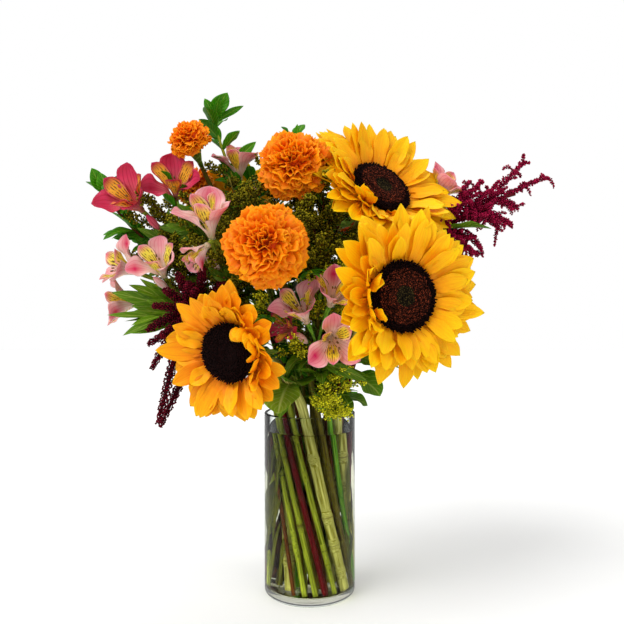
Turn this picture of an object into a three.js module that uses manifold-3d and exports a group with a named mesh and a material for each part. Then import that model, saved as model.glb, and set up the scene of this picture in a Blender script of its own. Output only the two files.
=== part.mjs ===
// A bouquet of sunflowers, marigolds, alstroemerias, amaranth and goldenrod in a glass cylinder vase.
// Millimetres, +Z up. The origin is the middle of the vase's foot, and the bouquet faces -Y.
import * as THREE from "three";
import { mergeVertices } from "three/addons/utils/BufferGeometryUtils.js";
import Module from "manifold-3d";

const wasm = await Module();
wasm.setup();

// ---- Driving dimensions ----
const VASE = { radius: 50.8, height: 203, wall: 3, floor: 9.5, round: 7, inside: 4, sides: 32 };
const WATER_LEVEL = 183;
const GAP = 0.35; // between neighbours that touch on the real thing
const NEAREST = 0.3; // the least gap between two plants
const HOLE = 0.45; // how much wider than its stem each hole in the water is

// The stems cross in a spiral: each runs straight from its foot to the rim, turned back by TWIST degrees.
const TWIST = 70;
const FOOT_RISE = 0.24; // a leaning stem stands on the edge of its cut end, by this share of its radius
const RIM_Z = VASE.height;
const RINGS = { outer: 38.5, middle: 25, inner: 11 };

const STEM_STEPS = 5;
const LEAVE = 0.4; // how far a stem keeps on straight past the rim, in shares of the way to its end
const ARRIVE = 0.33; // the same before its end, where it comes in along the bloom's own direction
const GOLDEN = 137.508; // degrees from one leaf, branch or floret to the next

// A stem thins to the share thin by its end.
const STEMS = {
  sunflower: { radius: 5.5, sides: 6, thin: 0.8 },
  marigold: { radius: 3.2, sides: 5, thin: 0.8 },
  alstroemeria: { radius: 2.8, sides: 5, thin: 0.85 },
  amaranth: { radius: 3, sides: 5, thin: 0.75 },
  goldenrod: { radius: 2.2, sides: 4, thin: 0.75 },
  branch: { radius: 2.2, sides: 5, thin: 0.8 },
};
// at has the places along a leaf where its outline turns, and rises the slopes that it tries.
const LEAVES = {
  sunflower: { length: 62, width: 44, at: [0, 0.3, 0.68], rises: [20, 5, 35, -15, 50, -30] },
  amaranth: { length: 60, width: 28, at: [0, 0.3, 0.68], rises: [20, 5, 35, -15, 50, -30] },
  alstroemeria: { length: 58, width: 16, at: [0, 0.45], rises: [35, 15, 55, -5] },
  branch: { length: 36, width: 18, at: [0, 0.3, 0.68], rises: [48, 30, 62, 10] },
  tip: { length: 34, width: 17, at: [0, 0.3, 0.68], rises: [74, 60, 50] },
};
const THICK = 1; // a petal or leaf at its rib
const CORE = 6; // how deep a sunflower's petals are joined behind its disc
const CALYX = 0.5; // a sunflower's calyx behind that, in shares of its disc's radius
const RAYS = 26;
const OBLATE = 0.82; // a marigold head's depth, in shares of its width
const MARIGOLD_BACK = 0.52; // from a marigold's middle to the back of its head, in shares of its radius
const MARIGOLD_CUP = 0.55; // its green cup's length, in shares of the same
const TASSEL = 4.2; // an amaranth strand's radius
const PLUME = 3.8; // a goldenrod side branch's radius

// at is where the stem passes the rim, in degrees round the vase from +X. head is the bloom's place, and face is
// where it looks. On a sunflower, curled is the side of the head where the petals stand up over the disc, and leaves
// holds a share of the stem and a way round the compass for each leaf.
const SUNFLOWERS = [
  { name: "sunflower_front", ring: "outer", at: 322, head: [88, -128, 331], face: [0.36, -0.9, 0.02],
    disc: 33, petal: 50, curled: 180, leaves: [[0.3, 5], [0.55, 60]], seed: 1 },
  { name: "sunflower_right", ring: "middle", at: 345, head: [75, -48, 445], face: [0.42, -0.66, 0.55],
    disc: 32, petal: 52, curled: 215, leaves: [[0.45, 20], [0.7, 60]], seed: 2 },
  { name: "sunflower_left", ring: "outer", at: 262, head: [-77, -115, 277], face: [-0.42, -0.88, -0.12],
    disc: 28, petal: 42, curled: 25, leaves: [[0.3, 282], [0.6, 215]], seed: 3 },
  { name: "sunflower_back", ring: "middle", at: 155, head: [-92, 88, 437], face: [-0.35, 0.72, 0.55],
    disc: 28, petal: 42, curled: 200, leaves: [[0.4, 130], [0.65, 190]], seed: 4 },
];
// Ruffled petals stand in tiers round the head, with two steps for each petal.
const MARIGOLDS = [
  { name: "marigold_centre", ring: "outer", at: 284, head: [-41, -125, 380], face: [-0.12, -0.93, 0.25],
    radius: 43, steps: 26, tiers: 5, seed: 11 },
  { name: "marigold_top", ring: "inner", at: 285, head: [-16, -55, 468], face: [-0.05, -0.75, 0.62],
    radius: 42, steps: 26, tiers: 5, seed: 12 },
  { name: "marigold_small", ring: "middle", at: 213, head: [-131, -20, 503], face: [-0.3, -0.55, 0.75],
    radius: 25, steps: 16, tiers: 4, seed: 13 },
  { name: "marigold_side", ring: "middle", at: 188, head: [-133, 32, 460], face: [-0.45, -0.2, 0.85],
    radius: 26, steps: 16, tiers: 4, seed: 14 },
  { name: "marigold_back", ring: "middle", at: 105, head: [48, 108, 440], face: [0.25, 0.8, 0.5],
    radius: 38, steps: 22, tiers: 4, seed: 15 },
];
// fork is where the pedicels part, and each bloom has its own place and face.
const ALSTROEMERIAS = [
  { name: "alstroemeria_left", ring: "outer", at: 193, fork: [-150, -8, 385], leaves: 4, seed: 21,
    blooms: [
      { head: [-184, -12, 426], face: [-0.5, -0.7, 0.5] },
      { head: [-148, -6, 440], face: [0.05, -0.72, 0.7] },
    ] },
  { name: "alstroemeria_low", ring: "outer", at: 209, fork: [-135, -32, 318], leaves: 5, seed: 22,
    blooms: [
      { head: [-153, -45, 352], face: [-0.2, -0.72, 0.66] },
      { head: [-185, -25, 357], face: [-0.8, -0.5, 0.35] },
      { head: [-188, -8, 325], face: [-0.92, -0.28, -0.05] },
    ] },
  { name: "alstroemeria_middle", ring: "outer", at: 240, fork: [-82, -62, 345], leaves: 4, seed: 23,
    blooms: [{ head: [-98, -80, 388], face: [-0.2, -0.6, 0.78], size: 1.25 }] },
  { name: "alstroemeria_front", ring: "outer", at: 303, fork: [8, -72, 270], leaves: 4, seed: 24,
    blooms: [
      { head: [-2, -92, 305], face: [-0.35, -0.6, 0.72] },
      { head: [20, -100, 291], face: [0.12, -0.97, -0.1] },
    ] },
  { name: "alstroemeria_top", ring: "inner", at: 120, fork: [-45, 28, 425], leaves: 3, seed: 25,
    blooms: [
      { head: [-80, 16, 464], face: [-0.05, -0.3, 0.95] },
      { head: [-15, 50, 470], face: [0.2, 0.3, 0.93] },
    ] },
  { name: "alstroemeria_right", ring: "outer", at: 30, fork: [105, 40, 400], leaves: 4, seed: 26,
    blooms: [
      { head: [137, 12, 440], face: [0.55, -0.35, 0.75] },
      { head: [120, 60, 425], face: [0.6, 0.6, 0.5] },
    ] },
  { name: "alstroemeria_rear", ring: "outer", at: 118, fork: [-75, 105, 335], leaves: 5, seed: 27,
    blooms: [{ head: [-105, 125, 365], face: [-0.6, 0.65, 0.45] }] },
];
// Each strand has its start along the stem, its end and how far it bows up.
const AMARANTHS = [
  { name: "amaranth_right", ring: "outer", at: 352, tip: [232, 8, 448], leaves: 3, seed: 31,
    strands: [
      [0.97, [268, 8, 466], 0], [0.9, [243, 6, 484], 0], [0.8, [218, 2, 452], -6], [0.75, [222, -4, 415], 12],
      [0.62, [188, 2, 380], 14], [0.6, [150, 14, 430], 0], [0.5, [166, -14, 362], 10],
    ] },
  { name: "amaranth_left", ring: "outer", at: 224, tip: [-128, -66, 318], leaves: 3, seed: 32,
    strands: [
      [0.98, [-168, -66, 296], 0], [0.85, [-166, -70, 282], 0], [0.75, [-155, -62, 196], 16],
      [0.9, [-120, -70, 345], 0], [0.6, [-140, -72, 262], 8],
    ] },
  { name: "amaranth_rear", ring: "outer", at: 80, tip: [70, 150, 370], leaves: 2, seed: 33,
    strands: [
      [0.98, [92, 185, 392], 0], [0.85, [110, 160, 352], 0], [0.8, [50, 175, 330], 10], [0.65, [92, 142, 300], 14],
    ] },
];
// reach is how far a spray's side branches spread, and side counts them.
const GOLDENRODS = [
  { name: "goldenrod_left", ring: "middle", at: 238, tip: [-120, -48, 412], reach: 50, side: 6, seed: 41 },
  { name: "goldenrod_centre", ring: "inner", at: 245, tip: [-62, -48, 446], reach: 46, side: 6, seed: 42 },
  { name: "goldenrod_right", ring: "inner", at: 330, tip: [16, -48, 420], reach: 48, side: 6, seed: 43 },
  { name: "goldenrod_front", ring: "middle", at: 288, tip: [12, -82, 352], reach: 40, side: 5, seed: 44 },
  { name: "goldenrod_low", ring: "middle", at: 313, tip: [32, -72, 248], reach: 32, side: 4, seed: 45 },
  { name: "goldenrod_back", ring: "inner", at: 60, tip: [14, 80, 405], bend: [16, 0, 0], reach: 50, side: 5,
    seed: 46 },
];
// Leaves stand in pairs from the share from of the stem to its tip.
const BRANCHES = [
  { name: "branch_top", ring: "inner", at: 180, tip: [-110, 15, 534], pairs: 4, from: 0.68, seed: 51 },
  { name: "branch_left", ring: "outer", at: 176, tip: [-228, -8, 448], bend: [0, 16, 0], pairs: 4, from: 0.5,
    seed: 52 },
  { name: "branch_centre", ring: "inner", at: 20, tip: [-18, 28, 513], pairs: 3, from: 0.55, seed: 53 },
  { name: "branch_back", ring: "outer", at: 58, tip: [118, 128, 455], pairs: 4, from: 0.45, seed: 54 },
];

const LOOKS = [
  ["vase", { color: 0xe4eeec, roughness: 0.05, transparent: true, opacity: 0.3 }],
  ["water", { color: 0xd8e4dc, roughness: 0.05, transparent: true, opacity: 0.3 }],
  ["_petals", { color: 0xffb400, roughness: 0.6 }],
  ["_disc", { color: 0x2c120c, roughness: 0.9 }],
  ["_head", { color: 0xff8800, roughness: 0.6 }],
  ["left_bloom", { color: 0xc8325a, roughness: 0.5 }],
  ["_bloom", { color: 0xe08a9a, roughness: 0.5 }],
  ["_stem", { color: 0x6f8b2c, roughness: 0.6 }],
  ["amaranth", { color: 0x6d0f2a, roughness: 0.8 }],
  ["goldenrod", { color: 0x9aa52a, roughness: 0.8 }],
  ["branch", { color: 0x2f6b22, roughness: 0.6 }],
];

// ---- Draws, directions and closed meshes ----
const DEG = Math.PI / 180;
const vector = (p) => new THREE.Vector3(...p);

// A repeatable draw from 0 to 1 for item k of a plant.
function draw(seed, k) {
  const wide = Math.sin(seed * 12.9898 + k * 78.233) * 43758.5453;
  return wide - Math.floor(wide);
}

const between = (seed, k, low, high) => low + (high - low) * draw(seed, k);

// A frame at a point whose +Z looks along face, with +Y as near to upright as it goes.
function looking(origin, face) {
  const z = face.clone().normalize();
  const upright = Math.abs(z.z) > 0.98 ? new THREE.Vector3(0, 1, 0) : new THREE.Vector3(0, 0, 1);
  const x = new THREE.Vector3().crossVectors(upright, z).normalize();
  const y = new THREE.Vector3().crossVectors(z, x);
  return new THREE.Matrix4().makeBasis(x, y, z).setPosition(origin);
}

// Triangles between two rings of point numbers, where a ring of one is a tip. Every other quad is split the other
// way, so that both faces of a thin blade are split alike.
function band(faces, low, high) {
  const count = Math.max(low.length, high.length);
  for (let k = 0; k < count; k++) {
    const next = (k + 1) % count;
    const [a, b] = [low[k % low.length], low[next % low.length]];
    const [d, c] = [high[k % high.length], high[next % high.length]];
    if (high.length === 1) faces.push([a, b, c]);
    else if (low.length === 1) faces.push([a, c, d]);
    else if (k % 2) faces.push([a, b, d], [b, c, d]);
    else faces.push([a, b, c], [a, c, d]);
  }
}

// A closed geometry from rings of points, with a flat cap on an end that isn't a tip.
function loft(sections) {
  const points = [];
  const faces = [];
  const numbered = sections.map((section) => section.map((point) => points.push(point) - 1));
  const [first, last] = [numbered[0], numbered[numbered.length - 1]];
  for (let k = 1; k < first.length - 1; k++) faces.push([first[0], first[k + 1], first[k]]);
  for (let k = 1; k < last.length - 1; k++) faces.push([last[0], last[k], last[k + 1]]);
  for (let i = 0; i < numbered.length - 1; i++) band(faces, numbered[i], numbered[i + 1]);
  return closed(points, faces);
}

// A geometry from points and triangles, turned to face out.
function closed(points, faces) {
  let volume = 0;
  for (const [a, b, c] of faces) {
    volume += points[a].dot(new THREE.Vector3().crossVectors(points[b], points[c]));
  }
  if (volume < 0) faces.forEach((face) => face.reverse());
  const geometry = new THREE.BufferGeometry();
  geometry.setAttribute("position", new THREE.Float32BufferAttribute(points.flatMap((p) => p.toArray()), 3));
  geometry.setIndex(faces.flat());
  return geometry;
}

// The solid of a closed geometry.
function solid(geometry) {
  const bare = geometry.clone();
  bare.deleteAttribute("normal");
  bare.deleteAttribute("uv");
  const merged = mergeVertices(bare, 1e-4);
  const index = merged.index.array;
  const kept = [];
  for (let i = 0; i < index.length; i += 3) {
    const [a, b, c] = index.subarray(i, i + 3);
    if (a !== b && b !== c && a !== c) kept.push(a, b, c);
  }
  return new wasm.Manifold(
    new wasm.Mesh({
      numProp: 3,
      vertProperties: merged.attributes.position.array,
      triVerts: new Uint32Array(kept),
    }),
  );
}

// A solid turned round Z from a profile of [radius, height] points that closes on the axis or on itself.
function lathe(profile, sides, matrix = new THREE.Matrix4()) {
  const turned = new THREE.LatheGeometry(profile.map(([r, z]) => new THREE.Vector2(r, z)), sides);
  turned.rotateX(Math.PI / 2);
  const position = turned.attributes.position;
  const points = Array.from({ length: position.count }, (_, i) =>
    new THREE.Vector3().fromBufferAttribute(position, i).applyMatrix4(matrix),
  );
  const faces = [];
  for (let i = 0; i < turned.index.count; i += 3) faces.push([0, 1, 2].map((k) => turned.index.getX(i + k)));
  return solid(closed(points, faces));
}

// Rings of a round section carried along points without twisting, with a radius for each.
function rings(path, radii, sides) {
  const tangents = path.map((_, i) =>
    path[Math.min(i + 1, path.length - 1)].clone().sub(path[Math.max(i - 1, 0)]).normalize(),
  );
  const side = new THREE.Vector3(1, 0.3, 0).cross(tangents[0]).normalize();
  return path.map((point, i) => {
    side.addScaledVector(tangents[i], -side.dot(tangents[i])).normalize();
    const other = new THREE.Vector3().crossVectors(tangents[i], side);
    return Array.from({ length: sides }, (_, k) => {
      const turn = (2 * Math.PI * k) / sides;
      const reach = radii[i] * (radii.bump ? radii.bump(i, k) : 1);
      return point
        .clone()
        .addScaledVector(side, reach * Math.cos(turn))
        .addScaledVector(other, reach * Math.sin(turn));
    });
  });
}

const tube = (path, radii, sides) => solid(loft(rings(path, radii, sides)));

// How a blade's width runs from its root at 0 to its tip at 1.
const PROFILES = {
  ray: (s) => (0.42 + 1.1 * s) * (1 - s ** 3),
  tepal: (s) => (0.16 + 2.1 * s ** 1.7) * (1 - s ** 4),
  leaf: (s) => (0.09 + 2.5 * s) * (1 - s ** 1.6),
  bract: (s) => (1 - s) ** 0.7,
};

// The cross sections of a petal or leaf, a thin blade with a rib: rib face, right edge, rib back and left edge, and
// last its tip. Its root is at the origin, it grows along +Y and its face looks along +Z. rise is its slope at the
// root and curl its turn by the tip, in degrees; cup lifts its edges, in shares of its width.
function bladeSections({ length, width, profile, rise, curl, cup = 0.2, twist = 0, at = [0, 0.4, 0.75] }) {
  const first = rise * DEG;
  const turn = (Math.abs(curl) < 0.5 ? 0.5 : curl) * DEG;
  const spine = (s) =>
    new THREE.Vector3(
      0,
      (length / turn) * (Math.sin(first + turn * s) - Math.sin(first)),
      (length / turn) * (Math.cos(first) - Math.cos(first + turn * s)),
    );
  const sections = at.map((s) => {
    const slope = first + turn * s;
    const half = (width / 2) * PROFILES[profile](s);
    const along = new THREE.Vector3(0, Math.cos(slope), Math.sin(slope));
    const across = new THREE.Vector3(1, 0, 0).applyAxisAngle(along, twist * s * DEG);
    const up = new THREE.Vector3().crossVectors(across, along);
    const place = (x, z) => spine(s).addScaledVector(across, x).addScaledVector(up, z);
    return [place(0, THICK / 2), place(half, cup * half), place(0, -THICK / 2), place(-half, cup * half)];
  });
  return [...sections, [spine(1)]];
}

// A blade's sections moved out to a ring round Z, at a radius, height and turn.
function onRing(shape, from = 0) {
  const { radius, height, turn } = shape;
  const place = new THREE.Matrix4().makeRotationZ((turn - 90) * DEG);
  place.setPosition(radius * Math.cos(turn * DEG), radius * Math.sin(turn * DEG), height);
  const at = (shape.at ?? [0, 0.4, 0.75]).map((s) => Math.max(s, from));
  return bladeSections({ ...shape, at }).map((section) => section.map((point) => point.applyMatrix4(place)));
}

// A ring of blades that grow from one core as a single skin: neighbours share the corner between their roots.
// top and bottom are the heights of the core's two middles.
function corolla(shapes, top, bottom) {
  const points = [new THREE.Vector3(0, 0, top), new THREE.Vector3(0, 0, bottom)];
  const faces = [];
  const add = (point) => points.push(point) - 1;
  const blades = shapes.map((shape) => onRing(shape));
  const corners = blades.map(([root], i) => add(root[3].clone().lerp(blades[(i + 1) % blades.length][0][1], 0.5)));
  blades.forEach(([root, ...rest], i) => {
    const right = corners[(i + corners.length - 1) % corners.length];
    const left = corners[i];
    let low = [add(root[0]), right, add(root[2]), left];
    faces.push([0, right, low[0]], [0, low[0], left], [1, low[2], right], [1, left, low[2]]);
    for (const section of rest) {
      const high = section.map(add);
      band(faces, low, high);
      low = high;
    }
  });
  return closed(points, faces);
}

// ---- The nodes as they grow ----
const nodes = new Map();

function near(a, b) {
  return [0, 1, 2].every((axis) => a.min[axis] - NEAREST < b.max[axis] && a.max[axis] + NEAREST > b.min[axis]);
}

// Adds a solid to a node, which is one piece in the end.
function grow(name, piece) {
  if (!nodes.has(name)) nodes.set(name, []);
  nodes.get(name).push({ piece, box: piece.boundingBox() });
}

// Whether a solid of this node keeps clear of every other node.
function isClear(name, piece) {
  const box = piece.boundingBox();
  for (const [other, grown] of nodes) {
    if (other === name) continue;
    for (const one of grown) {
      if (near(box, one.box) && piece.minGap(one.piece, NEAREST + 0.1) < NEAREST) return false;
    }
  }
  return true;
}

// Adds the first of a few postures that touches nothing: a leaf or branch bends clear of its neighbours, or is left
// out where it has no room.
function growClear(name, postures, shape) {
  for (const posture of postures) {
    const piece = shape(posture);
    if (isClear(name, piece)) return grow(name, piece);
  }
}

// Adds a corolla whose blades each take the first posture that is clear of other nodes and of the blades before it.
// A blade with no room is left out.
function growCorolla(name, frame, blades, postures, top, bottom) {
  const chosen = [];
  const placed = [];
  for (const shape of blades) {
    for (const posture of postures) {
      const bent = shape(posture);
      const pastRoot = solid(loft(onRing(bent, 0.1)).applyMatrix4(frame));
      if (placed.some((other) => other.minGap(pastRoot, 1) < NEAREST) || !isClear(name, pastRoot)) continue;
      chosen.push(bent);
      placed.push(pastRoot);
      break;
    }
  }
  grow(name, solid(corolla(chosen, top, bottom).applyMatrix4(frame)));
}

// ---- Vase and stems ----
const slot = (radius, turn, z) => new THREE.Vector3(radius * Math.cos(turn * DEG), radius * Math.sin(turn * DEG), z);

// A stem's path: straight from its foot to the rim, then one curve that reaches the end along a direction.
// bend moves the curve's second handle, to lead the stem round its neighbours.
function route({ ring, at, bend = [0, 0, 0] }, kind, end, along) {
  const foot = slot(RINGS[ring], at + TWIST, VASE.floor + GAP + FOOT_RISE * STEMS[kind].radius);
  const rim = slot(RINGS[ring], at, RIM_Z);
  const lean = rim.clone().sub(foot).normalize();
  const reach = rim.distanceTo(end);
  const curve = new THREE.CubicBezierCurve3(
    rim,
    rim.clone().addScaledVector(lean, LEAVE * reach),
    end.clone().addScaledVector(along.clone().normalize(), -ARRIVE * reach).add(vector(bend)),
    end,
  );
  return { curve, path: [foot, ...curve.getPoints(STEM_STEPS)] };
}

function vase() {
  const { radius, height, wall, floor, round, inside, sides } = VASE;
  const inner = radius - wall;
  const arc = (r, cx, cz, from, to, steps) =>
    Array.from({ length: steps + 1 }, (_, i) => {
      const turn = (from + ((to - from) * i) / steps) * DEG;
      return [cx + r * Math.cos(turn), cz + r * Math.sin(turn)];
    });
  const lip = wall / 2;
  grow("vase", lathe([
    [0, 0],
    ...arc(round, radius - round, round, -90, 0, 2),
    ...arc(lip, radius - lip, height - lip, 0, 180, 2),
    ...arc(inside, inner - inside, floor + inside, 0, -90, 1),
    [0, floor],
  ], sides));
}

const straights = []; // each stem's straight stretch, which stands in a hole in the water

function growStem(name, kind, { path }) {
  const { radius, sides, thin } = STEMS[kind];
  const last = path.length - 2;
  grow(name, tube(path, path.map((_, i) => radius * (1 - (1 - thin) * (Math.max(0, i - 1) / last))), sides));
  straights.push({ path: path.slice(0, 3), radius, sides });
}

function water() {
  const { radius, wall, floor, inside, sides } = VASE;
  const r = radius - wall - GAP;
  const low = floor + GAP;
  let body = lathe([
    [0, low], [r - inside, low], [r, low + inside], [r, WATER_LEVEL], [0, WATER_LEVEL],
  ], sides);
  for (const { path: [foot, rim, above], radius: stem, sides: around } of straights) {
    const below = foot.clone().lerp(rim, -0.03);
    body = body.subtract(tube([below, rim, above], Array(3).fill(stem + HOLE), around));
  }
  grow("water", largest(body));
}

const largest = (body) => body.decompose().reduce((a, b) => (a.volume() > b.volume() ? a : b));

// ---- Sunflowers ----
// A low dome whose florets stand as relief in crossing spirals.
function sunflowerDisc({ name, head, face, disc, seed }) {
  const frame = looking(vector(head), vector(face));
  const sides = 16;
  const relief = 0.9;
  const rim = 2;
  const height = (share) => rim + disc * (0.2 * (1 - share ** 3) - 0.1 * (1 - share) ** 2);
  const ring = (share, shift, z) =>
    Array.from({ length: sides }, (_, i) => slot(disc * share, ((i + shift) * 360) / sides, z(i)));
  const dome = [0.22, 0.52, 0.8, 1].map((share, j) => {
    const depth = share < 1 ? relief : 0.4 * relief;
    return ring(share, (j % 2) / 2, (i) => height(share) + ((i + j + seed) % 2 ? depth : -depth));
  });
  const underside = ring(0.94, 0.5, () => 0);
  grow(`${name}_disc`, solid(loft([[new THREE.Vector3(0, 0, height(0))], ...dome, underside]).applyMatrix4(frame)));
}

// Ray florets in one ring under the disc's edge, by turns low, middle and high, so that they overlap in whorls.
// On the curled side they stand up over the disc's edge.
function sunflowerPetals({ name, head, face, disc, petal, curled, seed }) {
  const frame = looking(vector(head), vector(face));
  const whorls = [
    { length: 1.04, width: 0.46, rise: 2 },
    { length: 1, width: 0.42, rise: 18 },
    { length: 1.04, width: 0.46, rise: 2 },
    { length: 0.84, width: 0.36, rise: 34 },
  ];
  const blades = Array.from({ length: RAYS }, (_, i) => ([bend, share]) => {
    const whorl = whorls[i % whorls.length];
    const turn = ((i + between(seed, i, -0.2, 0.2)) * 360) / RAYS;
    const near = Math.max(0, Math.cos((turn - curled) * DEG)) ** 2;
    return {
      turn,
      radius: disc + 1.4,
      height: -3,
      length: petal * whorl.length * between(seed, i + 0.3, 0.88, 1.06) * (1 - 0.25 * near) * share,
      width: petal * whorl.width,
      profile: "ray",
      rise: whorl.rise + between(seed, i + 0.1, -3, 3) + near * (16 + whorl.rise) + 0.4 * bend,
      curl: between(seed, i + 0.2, -16, 6) + near * (12 + 1.6 * whorl.rise) + bend,
      cup: 0.2,
      twist: between(seed, i + 0.4, -12, 12),
      at: i % 2 ? [0, 0.4, 0.75] : [0, 0.55],
    };
  });
  const postures = [[0, 1], [8, 1], [-8, 1], [16, 0.95], [-16, 0.95], [26, 0.85], [-26, 0.8], [10, 0.65], [-10, 0.5]];
  growCorolla(`${name}_petals`, frame, blades, postures, -1.2 * GAP, -CORE);
}

const calyxEnd = (disc) => -CORE - GAP - CALYX * disc;

function sunflowerStem(flower) {
  const { name, head, face, disc } = flower;
  const neck = new THREE.Vector3(0, 0, calyxEnd(disc)).applyMatrix4(looking(vector(head), vector(face)));
  flower.routed = route(flower, "sunflower", neck, vector(face));
  growStem(`${name}_stem`, "sunflower", flower.routed);
}

// The calyx closes round the stem's end, with a ring of pointed bracts behind the petals.
function sunflowerGreens({ name, head, face, disc, routed, leaves, seed }) {
  const count = 10;
  const bracts = Array.from({ length: count }, (_, i) => ([bend, share]) => ({
    turn: ((i + between(seed, 500 + i, -0.2, 0.2)) * 360) / count,
    radius: 0.8 * disc,
    height: -CORE - 2.5,
    length: 0.8 * disc * share,
    width: 0.42 * disc,
    profile: "bract",
    rise: -16 + bend,
    curl: 20,
    cup: -0.1,
    at: [0, 0.5],
  }));
  const postures = [[0, 1], [-14, 0.9], [-28, 0.8], [8, 0.6], [-40, 0.5]];
  const frame = looking(vector(head), vector(face));
  growCorolla(`${name}_stem`, frame, bracts, postures, -CORE - GAP, calyxEnd(disc) - 3);
  leaves.forEach(([share, turn], i) => stemLeaf(`${name}_stem`, LEAVES.sunflower, routed, share, turn, seed + i));
}

// A leaf on a stem at a share of its curve, pointing a way round the compass.
function stemLeaf(name, { length, width, at, rises }, { curve }, share, turn, seed) {
  const postures = rises.flatMap((rise) => [[rise, 0, 1], [rise, 22, 0.9], [rise, -22, 0.9], [rise, 45, 0.8]]);
  growClear(name, postures, ([rise, aside, size]) => {
    const leaf = loft(bladeSections({
      length: length * size, width: width * size, profile: "leaf", rise,
      curl: between(seed, 7, -50, -20), cup: 0.25, twist: between(seed, 8, -15, 15), at,
    }));
    const place = new THREE.Matrix4().makeRotationZ((turn + aside - 90) * DEG).setPosition(curve.getPoint(share));
    return solid(leaf.applyMatrix4(place));
  });
}

// ---- Marigolds ----
// A head of ruffled petals in tiers: every tier rises from a deep fold to a crest whose points stand forward, back,
// in and out by turns.
function marigoldHead({ name, head, face, radius, steps, tiers, seed }) {
  const frame = looking(vector(head), vector(face));
  const apart = 112 / tiers;
  const ring = (polar, reach) =>
    Array.from({ length: steps }, (_, i) => {
      const tilt = polar(i) * DEG;
      const turn = (2 * Math.PI * i) / steps;
      const far = radius * reach(i);
      return new THREE.Vector3(
        far * Math.sin(tilt) * Math.cos(turn), far * Math.sin(tilt) * Math.sin(turn), OBLATE * far * Math.cos(tilt),
      ).applyMatrix4(frame);
    });
  const fold = (polar) => ring(() => polar, () => 0.7);
  const sections = [[new THREE.Vector3(0, 0, 0.9 * OBLATE * radius).applyMatrix4(frame)], fold(0.5 * apart)];
  for (let tier = 0; tier < tiers; tier++) {
    const polar = apart * (tier + 1.15);
    const side = (i) => ((i + tier) % 2 ? 1 : -1);
    const k = (i) => 100 * tier + i;
    sections.push(ring(
      (i) => polar + side(i) * between(seed, k(i), 0.1, 0.3) * apart,
      (i) => (side(i) > 0 ? 1 : 0.88) * between(seed, k(i) + 0.5, 0.95, 1.05),
    ));
    sections.push(fold(apart * (tier + 1.5)));
  }
  sections.push([new THREE.Vector3(0, 0, -MARIGOLD_BACK * radius).applyMatrix4(frame)]);
  grow(`${name}_head`, solid(loft(sections)));
}

function marigoldStem(flower) {
  const { name, head, face, radius } = flower;
  const frame = looking(vector(head), vector(face));
  const top = -MARIGOLD_BACK * radius - GAP;
  const deep = MARIGOLD_CUP * radius;
  const neck = new THREE.Vector3(0, 0, top - deep).applyMatrix4(frame);
  growStem(`${name}_stem`, "marigold", route(flower, "marigold", neck, vector(face)));
  grow(`${name}_stem`, lathe([
    [0, top], [0.28 * radius, top], [0.24 * radius, top - 0.4 * deep], [2.6, top - deep - 2], [0, top - deep - 2],
  ], 7, frame));
}

// ---- Alstroemerias ----
// Six tepals: three broad outer ones and three narrow inner ones, by turns.
function alstroemeriaBloom(name, { head, face, size = 1 }, seed) {
  const frame = looking(vector(head), vector(face));
  const tepals = Array.from({ length: 6 }, (_, i) => ([bend, share]) => {
    const inner = i % 2;
    return {
      turn: 90 + 60 * i + between(seed, i, -6, 6),
      radius: 2.8,
      height: 3,
      length: (inner ? 40 : 42) * size * share,
      width: (inner ? 14 : 23) * size,
      profile: "tepal",
      rise: (inner ? 76 : 68) + 0.2 * bend,
      curl: (inner ? -30 : -48) + between(seed, 10 + i, -12, 12) + bend,
      cup: 0.3,
      twist: between(seed, 20 + i, -10, 10),
      at: inner ? [0, 0.6] : [0, 0.45, 0.75],
    };
  });
  const postures = [[0, 1], [14, 1], [-16, 0.95], [26, 0.88], [-30, 0.85], [34, 0.75], [30, 0.6]];
  growCorolla(name, frame, tepals, postures, 5, 0);
}

function alstroemeriaStem(plant) {
  const green = `${plant.name}_stem`;
  const fork = vector(plant.fork);
  const heads = plant.blooms.map((bloom) => vector(bloom.head));
  const middle = heads.reduce((sum, head) => sum.add(head), new THREE.Vector3()).divideScalar(heads.length);
  const along = middle.sub(fork).normalize().add(new THREE.Vector3(0, 0, 0.6));
  plant.routed = route(plant, "alstroemeria", fork, along);
  growStem(green, "alstroemeria", plant.routed);
  for (const { head, face } of plant.blooms) {
    const look = vector(face).normalize();
    const end = vector(head).addScaledVector(look, -2 * GAP);
    const reach = fork.distanceTo(end);
    const start = plant.routed.curve.getPoint(0.97);
    const lifted = start.clone().add(new THREE.Vector3(0, 0, 0.35 * reach));
    const pedicel = new THREE.CubicBezierCurve3(start, lifted, end.clone().addScaledVector(look, -0.4 * reach), end);
    grow(green, tube(pedicel.getPoints(3), [1.2, 1.2, 2.6, 1.4], 4));
  }
}

function alstroemeriaLeaves({ name, routed, leaves, seed }) {
  for (let i = 0; i < leaves; i++) {
    const share = 0.45 + (0.5 * (i + 0.5)) / leaves;
    stemLeaf(`${name}_stem`, LEAVES.alstroemeria, routed, share, i * GOLDEN + 40 * seed, seed + 0.37 * i);
  }
}

// ---- Amaranth ----
// A tassel is a tapering body covered with blunt florets, drawn larger than life as bumps.
function tassel(path) {
  const last = path.length - 1;
  const swell = (i) => (i === 0 || i === last ? 0.24 : 0.6 + 0.7 * Math.sin((Math.PI * i) / last));
  const radii = path.map((_, i) => TASSEL * swell(i));
  radii.bump = (i, k) => ((i + k) % 2 ? 1.28 : 0.78);
  return tube(path, radii, 4);
}

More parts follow.
